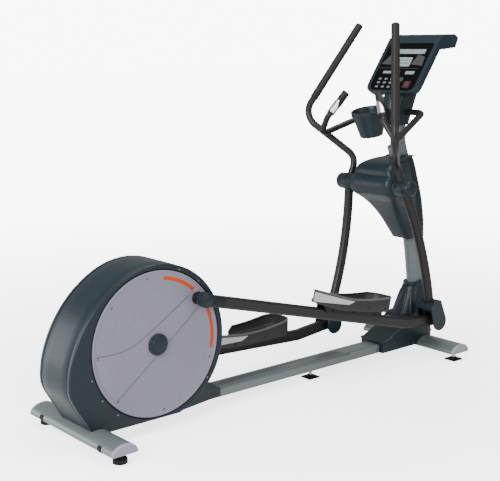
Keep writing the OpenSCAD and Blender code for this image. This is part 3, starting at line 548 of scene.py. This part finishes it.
HR = housing_ring()


def hring(y, d):
    return [(x, y, z) for x, z in (inset(HR, d) if d else HR)]


def hcirc(y, r):
    return [(CX + r * math.cos(a), y, CZ + r * math.sin(a)) for a in HA]


def housing():
    B, G = 0.100, 0.0012
    sh = Shape()
    sh.loft([hring(y, d) for y, d in ((-B + G, 0.0020), (-B + G + 0.0006, 0.0006), (-B + G + 0.0022, 0.0),
                                      (-0.05, -0.0004), (0.0, -0.0006),
                                      (0.05, -0.0004), (B - G - 0.0022, 0.0), (B - G - 0.0006, 0.0006),
                                      (B - G, 0.0020))], 0, ROOT,
            caps=(False, False))
    sh.make("housing_band_skin", "frame", SLATE, "slate", ["housing_band"], angle=50)
    for side in (RIGHT, LEFT):
        sh = Shape()
        M = ROOT @ mirror(side)
        rings = [hring(B + G, 0.0020), hring(B + G + 0.0006, 0.0006), hring(B + G + 0.002, 0.0)]
        e = 0.0075
        for k in range(7):
            a = math.pi / 2 * k / 6
            rings.append(hring(0.124 - e * (1 - math.sin(a)), e * (1 - math.cos(a))))
        sh.loft(rings, 0, M, caps=(False, False))
        face = [hring(0.124, e)]
        last = inset(HR, e)
        for t in (0.25, 0.5, 0.75):
            face.append([(lerp(x, CX + 0.3165 * math.cos(a), t), 0.124,
                          lerp(z, CZ + 0.3165 * math.sin(a), t)) for (x, z), a in zip(last, HA)])
        face += [hcirc(0.124, 0.3165), hcirc(0.1234, 0.3150), hcirc(0.1215, 0.3140), hcirc(0.112, 0.3138)]
        sh.loft(face, 0, M, caps=(False, False))
        sh.loft([hcirc(0.112, 0.3138), hcirc(0.1118, 0.05)], 1, M, caps=(False, True))
        sh.make("housing_side_" + NAME[side], "frame", [SLATE, BLACK], "slate",
                ["housing_cover_" + NAME[side]], angle=40)


def ribbon(sh, pts, w, y, mat=0, M=None, t=0.0008):
    """Thin flat strip along points in XZ, its top at y."""
    L, R = [], []
    for i, p in enumerate(pts):
        a, b = Vector(pts[max(i - 1, 0)]), Vector(pts[min(i + 1, len(pts) - 1)])
        d = (b - a).normalized() * (w / 2)
        L.append((p[0] - d.y, p[1] + d.x))
        R.append((p[0] + d.y, p[1] - d.x))
    rings = [[(l[0], y - t, l[1]), (l[0], y, l[1]), (r[0], y, r[1]), (r[0], y - t, r[1])] for l,
             r in zip(L, R)]
    return sh.loft(rings, mat, M)


def arc(cx, cz, r, a0, a1, n=24):
    return [(cx + r * math.cos(rad(lerp(a0, a1, k / n))),
             cz + r * math.sin(rad(lerp(a0, a1, k / n)))) for k in range(n + 1)]


def bolt(sh, x, z, y, r=0.005, h=0.002, mat=0, M=None, n=16):
    lathe_y(sh, [(r, y - 0.001), (r, y + h * 0.6), (r * 0.8, y + h), (r * 0.45, y + h),
                 (r * 0.42, y + h * 0.35), (0.0003, y + h * 0.35)], n, mat, M, x, z,
            caps=(True, True))


def discs():
    for side in (RIGHT, LEFT):
        M = at_crank(side)
        sh = Shape()
        lathe_y(sh, [(0.3070, 0.1175), (0.3088, 0.1185), (0.3090, 0.1262), (0.3083, 0.1275),
                     (0.3068, 0.1280), (0.3025, 0.1280),
                     (0.3008, 0.1274), (0.2996, 0.1266), (0.2980, 0.1264), (0.200, 0.1266), (0.100, 0.1268),
                     (0.050, 0.1269), (0.0003, 0.1270)], 144, 0, M,
                caps=(True, True))
        # slightly raised web that follows the crank arm
        top = [(-0.2300, 0.1830), (-0.190, 0.148), (-0.130, 0.105), (-0.060, 0.078), (0.010, 0.066),
               (0.090, 0.056), (0.170, 0.047), (0.236, 0.040)]
        low = [(0.240, -0.034), (0.150, -0.034), (0.050, -0.034), (-0.060, -0.034), (-0.160, -0.032),
               (-0.293, -0.030)]
        rim = arc(0, 0, 0.2945, 186, 141.5, 16)
        fine_t = [(x, curve_at(top, x)) for x in [lerp(-0.230, 0.236, k / 40) for k in range(41)]]
        nose = [(0.2635 + 0.046 * math.cos(rad(a)), 0.003 + 0.040 * math.sin(rad(a))) for a in range(100,
                -101, -20)]
        loop = fine_t + nose + low + rim[1:]
        out = [(x, 0.1273, z) for x, z in loop]
        mid = [(lerp(x, 0.0, 0.004), 0.1276, lerp(z, 0.01, 0.004)) for x, z in loop]
        spine = [(x * 0.9, 0.1276, 0.01) for x, z in loop]
        sh.loft([out, mid, spine], 0, M, caps=(False, False), flip=True)
        ribbon(sh, [(-0.2300, 0.1830)] + fine_t[1:], 0.0022, 0.1280, 1, M)
        ribbon(sh, low[::-1], 0.0022, 0.1280, 1, M)
        # screws near the rim, and two coloured arcs either side of the pin
        for a in (143, 187, 236, 300, 60, 100):
            bolt(sh, 0.285 * math.cos(rad(a)), 0.285 * math.sin(rad(a)), 0.1268, 0.0042, 0.0016, 1, M)
        ribbon(sh, arc(0, 0, 0.2765, 7.5, 43.5, 30), 0.0150, 0.1274, 2, M)
        ribbon(sh, arc(0, 0, 0.2805, -9, -51.5, 34), 0.0140, 0.1274, 2, M)
        sh.make("disc_%s_skin" % NAME[side], "crank", [DISC, DISC_LINE, ORANGE], "disc_grey",
                ["crank_disc_" + NAME[side]], angle=30)
    sh = Shape()
    for side in (RIGHT, LEFT):
        lathe_y(sh, [(0.044, 0.1262), (0.0458, 0.1275), (0.0460, 0.1345), (0.0445, 0.1372), (0.0415, 0.1385),
                     (0.0360, 0.1385), (0.0350, 0.1374),
                     (0.0335, 0.1374), (0.0325, 0.1388), (0.0300, 0.1396), (0.0003, 0.1400)], 72, 0,
                     at_crank(side))
    sh.make("hub_caps", "crank", SLATE, "slate", ["crank_hub_caps"], angle=32)
    sh = Shape()
    for side in (RIGHT, LEFT):
        lathe_y(sh, [(0.026, 0.127), (0.0275, 0.1285), (0.0275, 0.1335), (0.0262, 0.1348), (0.0225, 0.1352),
                     (0.0215, 0.1365), (0.0215, 0.1540),
                     (0.0235, 0.1555), (0.0235, 0.1590), (0.0225, 0.1598), (0.0100, 0.1600),
                     (0.0003, 0.1600)], 56, 0, at_crank(side), CR, 0)
    sh.make("pin_bosses", "crank", BLACK, "pin_black", ["crank_pin_bosses"], angle=32)


DISC_LINE = plastic("disc_line", (0.060, 0.060, 0.072), 0.5, var=0.05, wear=0.0)


def arm_heads():
    for side in (RIGHT, LEFT):
        M = at_arm(side)
        sh = Shape()
        lathe_y(sh, [(0.0290, 0.1606), (0.0312, 0.1618), (0.0320, 0.1650), (0.0320, 0.1985),
                     (0.0312, 0.2015), (0.0290, 0.2030), (0.0262, 0.2032),
                     (0.0258, 0.2046), (0.0250, 0.2072), (0.0225, 0.2086), (0.0003, 0.2090)], 64, 0, M, -LC,
                     0)
        sh.make("arm_head_%s_skin" % NAME[side], "pedal_" + NAME[side], SLATE, "slate",
                ["arm_head_" + NAME[side]], angle=32)
        # dark sleeve round the arm's end
        sh = Shape()
        x0, x1 = -LC + 0.024, -LC + 0.098
        rings = []
        for x, g in ((x0, 0.0), (x0 + 0.002, 0.0018), (x1 - 0.006, 0.0018), (x1, 0.0004)):
            rings.append([(x, AY + u, v) for u, v in rrect(0.040 + 2 * g, 0.040 + 2 * g, 0.007, 4)])
        sh.loft(rings, 0, M)
        sh.make("arm_sleeve_" + NAME[side], "pedal_" + NAME[side], BLACK, "pin_black", angle=32)


# ---------------------------------------------------------------- pedals
TOPC = [(-0.893, 0.098), (-0.800, 0.088), (-0.700, 0.077), (-0.624, 0.072), (-0.560, 0.074), (-0.504, 0.079),
        (-0.430, 0.089), (-0.385, 0.096), (-0.340, 0.099)]
BOTC = [(-0.893, 0.038), (-0.820, 0.027), (-0.755, 0.018), (-0.689, 0.012), (-0.600, 0.013), (-0.430, 0.020),
        (-0.340, 0.026)]
FLOORC = [(-0.900, 0.055), (-0.820, 0.044), (-0.755, 0.036), (-0.689, 0.031), (-0.600, 0.031),
          (-0.430, 0.037), (-0.330, 0.043)]


def pedal(side):
    M = at_arm(side)
    heel = -0.891 if side == RIGHT else -0.846
    long_y, short_y = (0.230, 0.066) if side == RIGHT else (0.066, 0.230)
    sg = 1 if long_y > short_y else -1
    R = 0.066                      # toe corners
    path = [(lerp(heel, -0.407, k / 44), long_y) for k in range(45)]
    path += [(-0.407 + R * math.sin(rad(a)), long_y - sg * R * (1 - math.cos(rad(a)))) for a in range(6, 91,
            6)]
    path += [(-0.341, long_y - sg * R - (long_y - sg * R - (short_y + sg * R)) * t) for t in (0.35, 0.7)]
    path += [(-0.407 + R * math.cos(rad(a)), short_y + sg * R * (1 - math.sin(rad(a)))) for a in range(0, 91,
            6)]
    path += [(lerp(-0.412, -0.616, k / 18), short_y) for k in range(1, 19)]
    n = len(path)
    rings = []
    for i, (s, y) in enumerate(path):
        a, b = Vector(path[max(i - 1, 0)]), Vector(path[min(i + 1, n - 1)])
        d = (b - a).normalized()
        nx, ny = (-d.y, d.x) if sg > 0 else (d.y, -d.x)
        nx, ny = -nx, -ny          # inwards
        if (Vector((nx, ny)).dot(Vector((-0.6 - s, 0.148 - y)))) < 0:
            nx, ny = -nx, -ny
        t, b0, f = curve_at(TOPC, s), curve_at(BOTC, s), curve_at(FLOORC, s)
        if i == n - 1 or i == n - 2:
            t = lerp(f, t, 0.72 if i == n - 2 else 0.4)
        q = lambda u, h: (s + nx * u, y + ny * u, h)
        rings.append([q(0.003, b0), q(0.0008, b0 + 0.003), q(0.0006, t - 0.011), q(0.0012, t - 0.010),
                      q(0.0012, t - 0.0085), q(0.0, t - 0.008),
                      q(0.0, t - 0.002), q(0.0012, t - 0.0003), q(0.0055, t), q(0.0078, t - 0.0012),
                      q(0.0082, t - 0.003), q(0.0076, t - 0.007),
                      q(0.0060, t - 0.0085), q(0.0062, f + 0.006), q(0.0090, f + 0.001),
                      q(0.0130, f - 0.001), q(0.0130, b0 + 0.001)])
    sh = Shape()
    k = len(rings[0])
    flip = sg > 0
    base = len(sh.v)
    for r in rings:
        for p in r:
            sh.v.append(M @ Vector(p))
    det = M.determinant() < 0
    for i in range(n - 1):
        for j in range(k):
            f = [base + i * k + j, base + i * k + (j + 1) % k, base + (i + 1) * k + (j + 1) % k,
                 base + (i + 1) * k + j]
            sh.f.append(f[::-1] if flip != det else f)
            sh.m.append(1 if j in (5, 6, 7, 8) else 0)
    for idx in (list(range(k))[::-1], [(n - 1) * k + j for j in range(k)]):
        f = [base + i for i in idx]
        sh.f.append(f[::-1] if flip != det else f)
        sh.m.append(0)
    # floor, thinner than the walls are high, with long tread ribs
    def span(s):
        lo_, hi_ = 0.066 + 0.005, 0.230 - 0.005
        if s > -0.407:
            c = R - math.sqrt(max(R * R - (s + 0.407) ** 2, 0.0)) + 0.004
            lo_, hi_ = 0.066 + c, 0.230 - c
        if s < -0.616:
            t = (-0.616 - s) / (-0.616 - heel)
            if sg > 0:
                lo_ = lerp(0.066 + 0.003, 0.230 - 0.010, t)
            else:
                hi_ = lerp(0.230 - 0.003, 0.066 + 0.010, t)
        return lo_, hi_
    ss = [lerp(heel + 0.001, -0.3445, k / 60) for k in range(61)]
    fl = []
    for s in ss:
        a, b = span(s)
        f, b0 = curve_at(FLOORC, s), curve_at(BOTC, s)
        fl.append([(s, a, b0 + 0.001), (s, a, f - 0.0015), (s, a + 0.002, f), (s, b - 0.002, f),
                   (s, b, f - 0.0015), (s, b, b0 + 0.001)])
    sh.loft(fl, 0, M, flip=False)
    for y in [0.084 + 0.0095 * i for i in range(14)]:
        ok = [s for s in ss if span(s)[0] + 0.010 < y < span(s)[1] - 0.010 and s < -0.362]
        if len(ok) > 3:
            sh.loft([[(s, y - 0.0022, curve_at(FLOORC, s) - 0.0005),
                      (s, y - 0.0013, curve_at(FLOORC, s) + 0.0016),
                      (s, y + 0.0013, curve_at(FLOORC, s) + 0.0016),
                      (s, y + 0.0022, curve_at(FLOORC, s) - 0.0005)] for s in ok], 2, M)
    # silver panel on the rear half of the long wall
    out = long_y + sg * 0.0014
    pn = []
    for i in range(31):
        s = lerp(heel + 0.003, -0.626, i / 30)
        t = curve_at(TOPC, s) - 0.0115
        b = max(0.040, curve_at(BOTC, s) + 0.004)
        if s > -0.660:
            b = lerp(0.040, t - 0.004, (s + 0.660) / 0.034)
        pn.append([(s, out - sg * 0.003, b), (s, out, b + 0.0012), (s, out, t - 0.0012),
                   (s, out - sg * 0.003, t)])
    sh.loft(pn, 3, M, closed=True, flip=sg < 0)
    # bracket between tray and arm, with bolts through its flanges
    for y0, y1 in ((AY - 0.030, AY - 0.0215), (AY + 0.0215, AY + 0.030)):
        sh.loft([[(s, y0, z0), (s, y1, z0), (s, y1, z1), (s, y0, z1)] for s, z0, z1 in
                 ((-0.792, 0.010, 0.032), (-0.775, -0.006, 0.027), (-0.430, -0.006, 0.022),
                  (-0.412, 0.008, 0.024))], 4, M)
    for s in (-0.74, -0.60, -0.46):
        bolt(sh, s, 0.004, AY + 0.030, 0.0055, 0.0025, 4, M)
        Mi = M @ Matrix.Translation((0, 2 * AY, 0)) @ Matrix.Scale(-1, 4, (0, 1, 0))
        bolt(sh, s, 0.004, AY + 0.030, 0.0055, 0.0025, 4, Mi)
    for s in (-0.70, -0.52, -0.41):
        z = curve_at(BOTC, s) + 0.018
        Mo = M if sg > 0 else M @ Matrix.Scale(-1, 4, (0, 1, 0))
        bolt(sh, s, z, sg * long_y - 0.0002, 0.004, 0.0014, 4, Mo)
    sh.make("pedal_" + NAME[side] + "_tray", "pedal_" + NAME[side],
            [PEDAL, PEDAL_RIM, PEDAL_TREAD, TRIM, BLACK, ZINC], "pedal", ["foot_pedal_" + NAME[side]],
            angle=36)


PEDAL_TREAD = rubber("pedal_tread", (0.032, 0.032, 0.033), 0.6)


# ---------------------------------------------------------------- pivot shroud
SREAR = [(0.605, 1.602), (0.655, 1.566), (0.745, 1.500), (0.815, 1.436), (0.846, 1.394), (0.862, 1.376),
         (0.900, 1.370), (0.930, 1.378), (0.948, 1.394), (0.962, 1.392),
         (0.985, 1.402), (1.001, 1.424), (1.013, 1.462), (1.021, 1.520), (1.026, 1.580)]
SWIDE = [(0.605, 0.064), (0.700, 0.072), (0.780, 0.092), (0.830, 0.120), (0.852, 0.134), (0.940, 0.134),
         (0.955, 0.128), (0.985, 0.116), (1.005, 0.098), (1.020, 0.080), (1.026, 0.066)]
SFRONT = [(0.605, 1.736), (0.662, 1.731), (0.793, 1.713), (0.908, 1.680), (1.000, 1.650), (1.026, 1.634)]


def shroud():
    zs = [lerp(0.606, 1.0255, k / 52) for k in range(53)]
    rear, front = [], []
    for z in zs:
        xr, w, xf = curve_at(SREAR, z), curve_at(SWIDE, z), curve_at(SFRONT, z)
        xs = xf - 0.066
        m = min(0.070, w)
        r = []
        pts = [(xs, m), (lerp(xr, xs, 0.72), lerp(w, m, 0.72) + 0.002),
               (lerp(xr, xs, 0.44), lerp(w, m, 0.50)), (xr + 0.060, w - 0.001), (xr + 0.030, w),
               (xr + 0.012, w - 0.004), (xr + 0.003, w - 0.013),
               (xr, w - 0.026), (xr - 0.001, w * 0.5), (xr - 0.001, 0.0)]
        rear.append([(x, y, z) for x, y in pts] + [(x, -y, z) for x, y in pts[-2::-1]])
        pf = [(xs + 0.0015, m), (xs + 0.030, m - 0.001), (xf - 0.016, m - 0.010), (xf - 0.006, m - 0.020),
              (xf, m - 0.036), (xf + 0.001, 0.0)]
        front.append([(x, -y, z) for x, y in pf] + [(x, y, z) for x, y in pf[-2::-1]])
    def cap(rings):
        lo_, hi_ = rings[0], rings[-1]
        c = lambda r, d, s: [(lerp(p[0], sum(q[0] for q in r) / len(r), s), p[1] * (1 - s),
                              p[2] + d) for p in r]
        return [c(lo_, -0.001, 0.25), c(lo_, -0.001, 0.04)] + rings + [c(hi_, 0.0025, 0.03),
                                                                       c(hi_, 0.004, 0.10), c(hi_, 0.0055,
                                                                               0.4), c(hi_, 0.006, 0.98)]
    sh = Shape().loft(cap(rear), 0, ROOT)
    sh.make("shroud_rear_skin", "frame", SLATE, "slate", ["shroud_rear"], angle=48)
    sh = Shape().loft(cap(front), 0, ROOT)
    sh.make("shroud_front_skin", "frame", SLATE_DEEP, "slate", ["shroud_front"], angle=48)
    # ends of the cross beam, with a dark gap before the turning caps
    sh = Shape()
    for side in (RIGHT, LEFT):
        M = ROOT @ mirror(side)
        lathe_y(sh, [(0.046, 0.100), (0.0475, 0.128), (0.0460, 0.1345), (0.0415, 0.1365), (0.0400, 0.1385),
                     (0.0400, 0.1425), (0.0385, 0.1430), (0.030, 0.1430)],
                64, 0, M, PX, PZ, caps=(False, True))
        lathe_y(sh, [(0.0340, 0.1420), (0.0340, 0.1470)], 48, 1, M, PX, PZ)
    sh.make("beam_ends", "frame", [SLATE, BLACK], "slate", angle=34)


def hub_covers():
    for side in (RIGHT, LEFT):
        M = at_swing(side)
        sh = Shape()
        lathe_y(sh, [(0.0360, 0.1462), (0.0395, 0.1466), (0.0410, 0.1485), (0.0412, 0.1540),
                     (0.0408, 0.1546), (0.0408, 0.1556), (0.0412, 0.1562), (0.0412, 0.2230),
                     (0.0408, 0.2236), (0.0396, 0.2240), (0.0396, 0.2252), (0.0404, 0.2258),
                     (0.0400, 0.2310), (0.0370, 0.2390), (0.0310, 0.2445), (0.0220, 0.2466),
                     (0.0003, 0.2472)],
                64, 0, M, caps=(True, True))
        for a in (150, 330):
            q = Matrix.Translation((0.0412 * math.cos(rad(a)), 0.170,
                                    0.0412 * math.sin(rad(a)))) @ Matrix.Rotation(-rad(a) - math.pi / 2, 4,
                                            "Y")
            sh.loft([[(r * math.cos(2 * math.pi * k / 16), r * math.sin(2 * math.pi * k / 16),
                       h) for k in range(16)] for r, h in
                     ((0.0050, -0.004), (0.0050, 0.0004), (0.0042, 0.0008), (0.0030, 0.0002),
                      (0.0004, 0.0002))], 1, M @ q)
        sh.make("hub_cap_" + NAME[side], "swing_" + NAME[side], [SLATE, BLACK], "slate",
                ["hub_cover_" + NAME[side]], angle=34)


# ---------------------------------------------------------------- stabilisers, base ribs, cup lip
REAR_BAR_X, FRONT_BAR_X = -0.282, 1.718
WHEEL_POCKETS = ((-0.247, -0.217), (0.217, 0.247))     # along the rear bar
POCKET_BACK, POCKET_TOP = -0.028, 0.0655               # from the bar's middle, and above the floor


def stabiliser(x0, half, name, node, pockets=()):
    prof = [(-0.0590, 0.0435), (-0.0590, 0.0520), (-0.0578, 0.0575), (-0.0540, 0.0635), (-0.0460, 0.0705),
            (-0.0330, 0.0785), (-0.0160, 0.0842), (0.0020, 0.0865),
            (0.0200, 0.0855), (0.0370, 0.0800), (0.0480, 0.0715), (0.0555, 0.0610), (0.0588, 0.0520),
            (0.0590, 0.0435), (0.0550, 0.0427), (-0.0550, 0.0427)]
    sh = Shape()
    ends = [-half] + sorted(y for p in pockets for y in p) + [half]
    for y0, y1 in zip(ends, ends[1:]):
        cut = (y0, y1) in pockets                # over a wheel the rear face stops higher up
        ys = [y0, y0 + 0.0015] + [lerp(y0 + 0.005, y1 - 0.005, k / 8) for k in range(9)] + [y1 - 0.0015, y1]
        rings = []
        for y in ys:
            g = 0.0012 if abs(y) > half - 0.0005 else 0.0
            ring = [(x0 + x * (1 - g * 12), y, z - (g if z > 0.05 else 0)) for x, z in prof]
            if cut:
                ring = [(max(px, x0 + POCKET_BACK) if pz < 0.060 else px, y,
                         max(pz, POCKET_TOP) if px < x0 + POCKET_BACK else pz) for px, _, pz in ring]
            rings.append(ring)
        sh.loft(rings, 0, ROOT)
    sh.make(name, "frame", SILVER, "frame_silver", [node], angle=50)
    sh = Shape()
    for sg in (-1, 1):
        rr = []
        for y, k in ((half, 1.0), (half + 0.0010, 1.012), (half + 0.0075, 1.012), (half + 0.0105, 0.985),
                     (half + 0.0118, 0.93), (half + 0.0120, 0.80)):
            rr.append([(x0 + x * k, sg * y, 0.060 + (z - 0.060) * k) for x, z in prof])
        sh.loft(rr, 0, ROOT, flip=sg < 0)
    return sh


def end_caps():
    a = stabiliser(REAR_BAR_X, 0.322, "rear_foot_bar", "rear_stabilizer", WHEEL_POCKETS)
    b = stabiliser(FRONT_BAR_X, 0.304, "front_foot_bar", "front_stabilizer")
    n = len(a.v)
    a.v += b.v
    a.f += [[n + i for i in f] for f in b.f]
    a.m += b.m
    a.make("end_caps", "frame", CAP, "cap_grey", ["stabilizer_end_caps"], angle=40)


def rail_strip():
    """Raised cover strip along the rear part of the rail, round at its front end."""
    w = 0.031
    out = [(0.330, -w), (1.150, -w)] + [(1.150 + w * math.sin(rad(a)),
                                         -w * math.cos(rad(a))) for a in range(15, 180, 15)] + [(1.150, w),
                                                 (0.330, w)]
    rings = []
    for z, d in ((0.0905, 0.0), (0.0930, 0.0), (0.0938, 0.0006), (0.0942, 0.0018)):
        rings.append([(x, y, z) for x, y in (inset(out, d) if d else out)])
    sh = Shape().loft(rings, 0, ROOT)
    sh.make("rail_strip", "frame", STRIP, "frame_silver", angle=40)


STRIP = paint("strip_paint", (0.095, 0.112, 0.116), 0.34, 0.35, coat=0.2, var=0.04)


def base_ribs():
    from mathutils.bvhtree import BVHTree
    me = nodes["base_cover"].data
    tree = BVHTree.FromPolygons([v.co for v in me.vertices], [p.vertices for p in me.polygons])
    sh = Shape()
    for a in (-62, -38, -13, 13, 38, 62):
        rings = []
        for k in range(15):
            z = lerp(0.196, 0.338, k / 14)
            c = Vector((1.700 - D, 0, z))
            d = Vector((-math.cos(rad(a)), math.sin(rad(a)), 0))
            hit = tree.ray_cast(c + d * 0.5, -d)[0]
            if hit is None:
                continue
            t = Vector((-d.y, d.x, 0))
            e = min(1.0, min(k, 14 - k) / 2.0)
            w, h = 0.0085 * (0.55 + 0.45 * e), 0.0045 * e
            rings.append([hit + t * w * math.cos(math.pi * j / 6)
                          + d * (h * math.sin(math.pi * j / 6) - 0.0008) for j in range(7)])
        if len(rings) > 3:
            sh.loft(rings, 0)
    # lip over the rail, and the slanted joint line with its slot
    sh.loft([[(x - D, y, z) for y in (-0.0775, 0.0775) for x,
              z in (((1.399, 0.1035), (1.399, 0.1070), (1.414, 0.1130), (1.414, 0.1035)) if y < 0 else
             ((1.414, 0.1035), (1.414, 0.1130), (1.399, 0.1070), (1.399, 0.1035)))][:4],
             [(1.399 - D, 0.0775, 0.1035), (1.399 - D, 0.0775, 0.1070), (1.414 - D, 0.0775, 0.1130),
              (1.414 - D, 0.0775, 0.1035)]], 0)
    for y in (-0.0757, 0.0757):
        s = 1 if y < 0 else -1
        sh.loft([[(x - D, y + s * 0.0020, z), (x - D, y - s * 0.0006, z),
                  (x - D + 0.003, y - s * 0.0006, z - 0.006), (x - D + 0.003, y + s * 0.0020, z - 0.006)]
                 for x, z in ((1.420, 0.1100), (1.470, 0.1330), (1.535, 0.1600), (1.588, 0.2090))], 1,
                 flip=y > 0)
    sh.make("base_trim", "frame", [SLATE, BASE_EDGE], "slate", angle=40)


BASE_EDGE = plastic("base_edge_plastic", (0.020, 0.030, 0.037), 0.35, spec=0.3, var=0.08)


def cup_lip():
    M = place(1.395, 0, 1.139) @ Matrix.Rotation(-rad(12), 4, "Y")
    sh = Shape()
    n = 72
    prof = [(0.0775, 0.1290), (0.0770, 0.1080), (0.0792, 0.1060), (0.0826, 0.1066), (0.0838, 0.1090),
            (0.0845, 0.1255), (0.0838, 0.1290), (0.0818, 0.1302), (0.0790, 0.1302), (0.0775, 0.1290)]
    sh.loft([[(r * math.cos(2 * math.pi * k / n), r * math.sin(2 * math.pi * k / n),
               h) for k in range(n)] for r, h in prof], 0, M, caps=(False, False), flip=True)
    sh.make("cup_band", "frame", SLATE, "slate", angle=34)


# ---------------------------------------------------------------- console
def plate(sh, outline, z0, z1, mat=0, M=None, r=0.0006):
    """Flat plate in the face's own plane: outline in (up the slope, across)."""
    rings = [[(x, y, z0) for x, y in outline], [(x, y, z1 - r) for x, y in outline],
             [(x, y, z1) for x, y in inset(outline, r)]]
    return sh.loft(rings, mat, M)


def box_out(t0, t1, y0, y1, r=0.002, n=3):
    return rrect(t1 - t0, y1 - y0, r, n, (t0 + t1) / 2, (y0 + y1) / 2)


def console():
    sh = Shape()
    M = FACE
    base = []
    for cx, cy, r, a0 in ((0.266 - 0.010, 0.146 - 0.010, 0.0097, 0),
                          (-0.009 + 0.034, 0.146 - 0.034, 0.0337, 90), (-0.009 + 0.034, -0.146 + 0.034,
                                                                        0.0337, 180),
                          (0.266 - 0.010, -0.146 + 0.010, 0.0097, 270)):
        base += [(cx + r * math.cos(rad(a0 + k * 11.25)),
                  cy + r * math.sin(rad(a0 + k * 11.25))) for k in range(9)]
    plate(sh, base, -0.003, 0.0010, 0, M)
    z = 0.0010
    plate(sh, box_out(0.202, 0.229, -0.115, 0.071, 0.003), z, z + 0.0006, 1, M, 0.0003)
    for pts in ([(0.137, 0.075), (0.142, 0.139), (0.196, 0.101), (0.196, 0.066)],
                [(0.141, -0.057), (0.134, -0.133), (0.185, -0.127), (0.197, -0.079)]):
        plate(sh, pts[::-1], z, z + 0.0005, 2, M, 0.0003)
    plate(sh, box_out(0.115, 0.1195, -0.121, 0.140, 0.002), z, z + 0.0016, 3, M, 0.0005)
    for t0, t1, y0, y1 in ((0.086, 0.101, 0.046, 0.101), (0.084, 0.102, -0.106, -0.048),
                           (0.086, 0.100, -0.012, 0.018)):
        plate(sh, box_out(t0, t1, y0, y1, 0.004), z, z + 0.0006, 1, M, 0.0003)
    for t in (0.009, 0.033, 0.0545):
        for y in (0.099, 0.059, 0.020):
            plate(sh, box_out(t - 0.006, t + 0.006, y - 0.0095, y + 0.0095, 0.004), z, z + 0.0012, 4, M,
                  0.0005)
    plate(sh, box_out(0.006, 0.046, -0.112, -0.070, 0.006), z, z + 0.0004, 5, M, 0.0003)
    sh.make("console_panel", "frame", [GLOSSF, LIGHT_MARK, GREY_MARK, SLATE, KEYS, RED_MARK], "face",
            ["console_face"], angle=32)
    # display window with rows of generic segments
    sh = Shape()
    plate(sh, box_out(0.129, 0.181, -0.0517, 0.0517, 0.003), -0.0005, 0.0020, 0, M)
    for t, h in ((0.165, 0.009), (0.146, 0.012)):
        for i in range(6):
            y = 0.040 - i * 0.0155
            plate(sh, box_out(t - h / 2, t + h / 2, y - 0.0045, y + 0.0045, 0.001), 0.0019, 0.0022, 1, M,
                  0.0001)
    sh.make("display_window", "frame", [LCD, LCD_INK], "lcd", ["console_display"], angle=32)
    for name, at, m, slot in (("start_key", (0.052, -0.042), GREEN, "key_green"),
                              ("stop_key", (0.027, -0.090), RED, "key_red")):
        sh = Shape()
        n = 36
        prof = [(0.0126, -0.0014), (0.0130, -0.0008), (0.0130, 0.0022), (0.0124, 0.0032), (0.0105, 0.0037),
                (0.0070, 0.0034), (0.0002, 0.0031)]
        sh.loft([[(at[0] + r * math.cos(2 * math.pi * k / n), at[1] + r * math.sin(2 * math.pi * k / n),
                   h) for k in range(n)] for r, h in prof], 0, M)
        sh.make(name + "_cap", name + "_body", m, slot, [name], angle=32)


LIGHT_MARK = plastic("console_light_mark", (0.15, 0.17, 0.18), 0.4, var=0.3, wear=0.0)
GREY_MARK = plastic("console_grey_mark", (0.030, 0.029, 0.033), 0.35, var=0.1, wear=0.0)
KEYS = plastic("console_keys", (0.085, 0.092, 0.10), 0.45, var=0.1, wear=0.1)
RED_MARK = plastic("console_red_mark", (0.020, 0.007, 0.007), 0.4, var=0.2, wear=0.0)
LCD = plastic("display_glass", (0.19, 0.25, 0.23), 0.16, grain=30.0, depth=0.00001, var=0.06, coat=0.5,
              wear=0.0)
LCD_INK = plastic("display_ink", (0.06, 0.08, 0.075), 0.3, var=0.1, wear=0.0)
GREEN = plastic("key_green_plastic", (0.014, 0.040, 0.024), 0.42, var=0.12)
RED = plastic("key_red_plastic", (0.060, 0.010, 0.009), 0.42, var=0.12)

housing()
discs()
arm_heads()
for sd in (RIGHT, LEFT):
    pedal(sd)
shroud()
hub_covers()
end_caps()
base_ribs()
rail_strip()
cup_lip()
console()
cad_mod(["console_shell", "cup_holder", "neck_cover", "base_cover", "rail_fairing", "joint_cover_right",
         "joint_cover_left", "square_feet", "round_feet"], 0.0022)
cad_mod(["rear_rail", "front_rail", "mast"], 0.0012)


# ---------------------------------------------------------------- CAD nodes that show as they are
KEEP = {
    SILVER: ["rear_rail", "front_rail", "rear_stabilizer", "front_stabilizer", "mast"],
    CAP: ["stabilizer_end_caps"],
    RUBBER: ["round_feet", "square_feet", "transport_wheel_right", "transport_wheel_left", "drive_belt"],
    ZINC: ["foot_studs", "wheel_forks", "wheel_axles", "pivot_axle", "crank_axle", "joint_pin_right",
           "joint_pin_left"],
    STAND: ["drive_stand", "crank_arms"],
    CASTM: ["crank_bearings", "brake_unit", "flywheel", "drive_pulley"],
    BRONZE: ["swing_arm_right", "swing_arm_left", "pedal_arm_right", "pedal_arm_left", "fixed_handlebar"],
    GRIP: ["swing_grip_right", "swing_grip_left", "pulse_grips"],
    CHROME: ["pulse_sensors"],
    SLATE: ["housing_band", "housing_cover_right", "housing_cover_left", "rail_fairing", "base_cover",
            "shroud_front",
            "shroud_rear", "neck_cover", "cup_holder", "console_shell", "hub_cover_right", "hub_cover_left",
            "joint_cover_right", "joint_cover_left", "arm_head_right", "arm_head_left", "crank_hub_caps"],
    DISC: ["crank_disc_right", "crank_disc_left"],
    BLACK: ["crank_pin_bosses"],
    SCREW: ["cover_screws"],
    PEDAL: ["foot_pedal_right", "foot_pedal_left"],
    GLOSSF: ["console_face", "console_display", "start_key", "stop_key"],
}
for mat, names in KEEP.items():
    for n in names:
        me = nodes[n].data
        me.materials.clear()
        me.materials.append(mat)
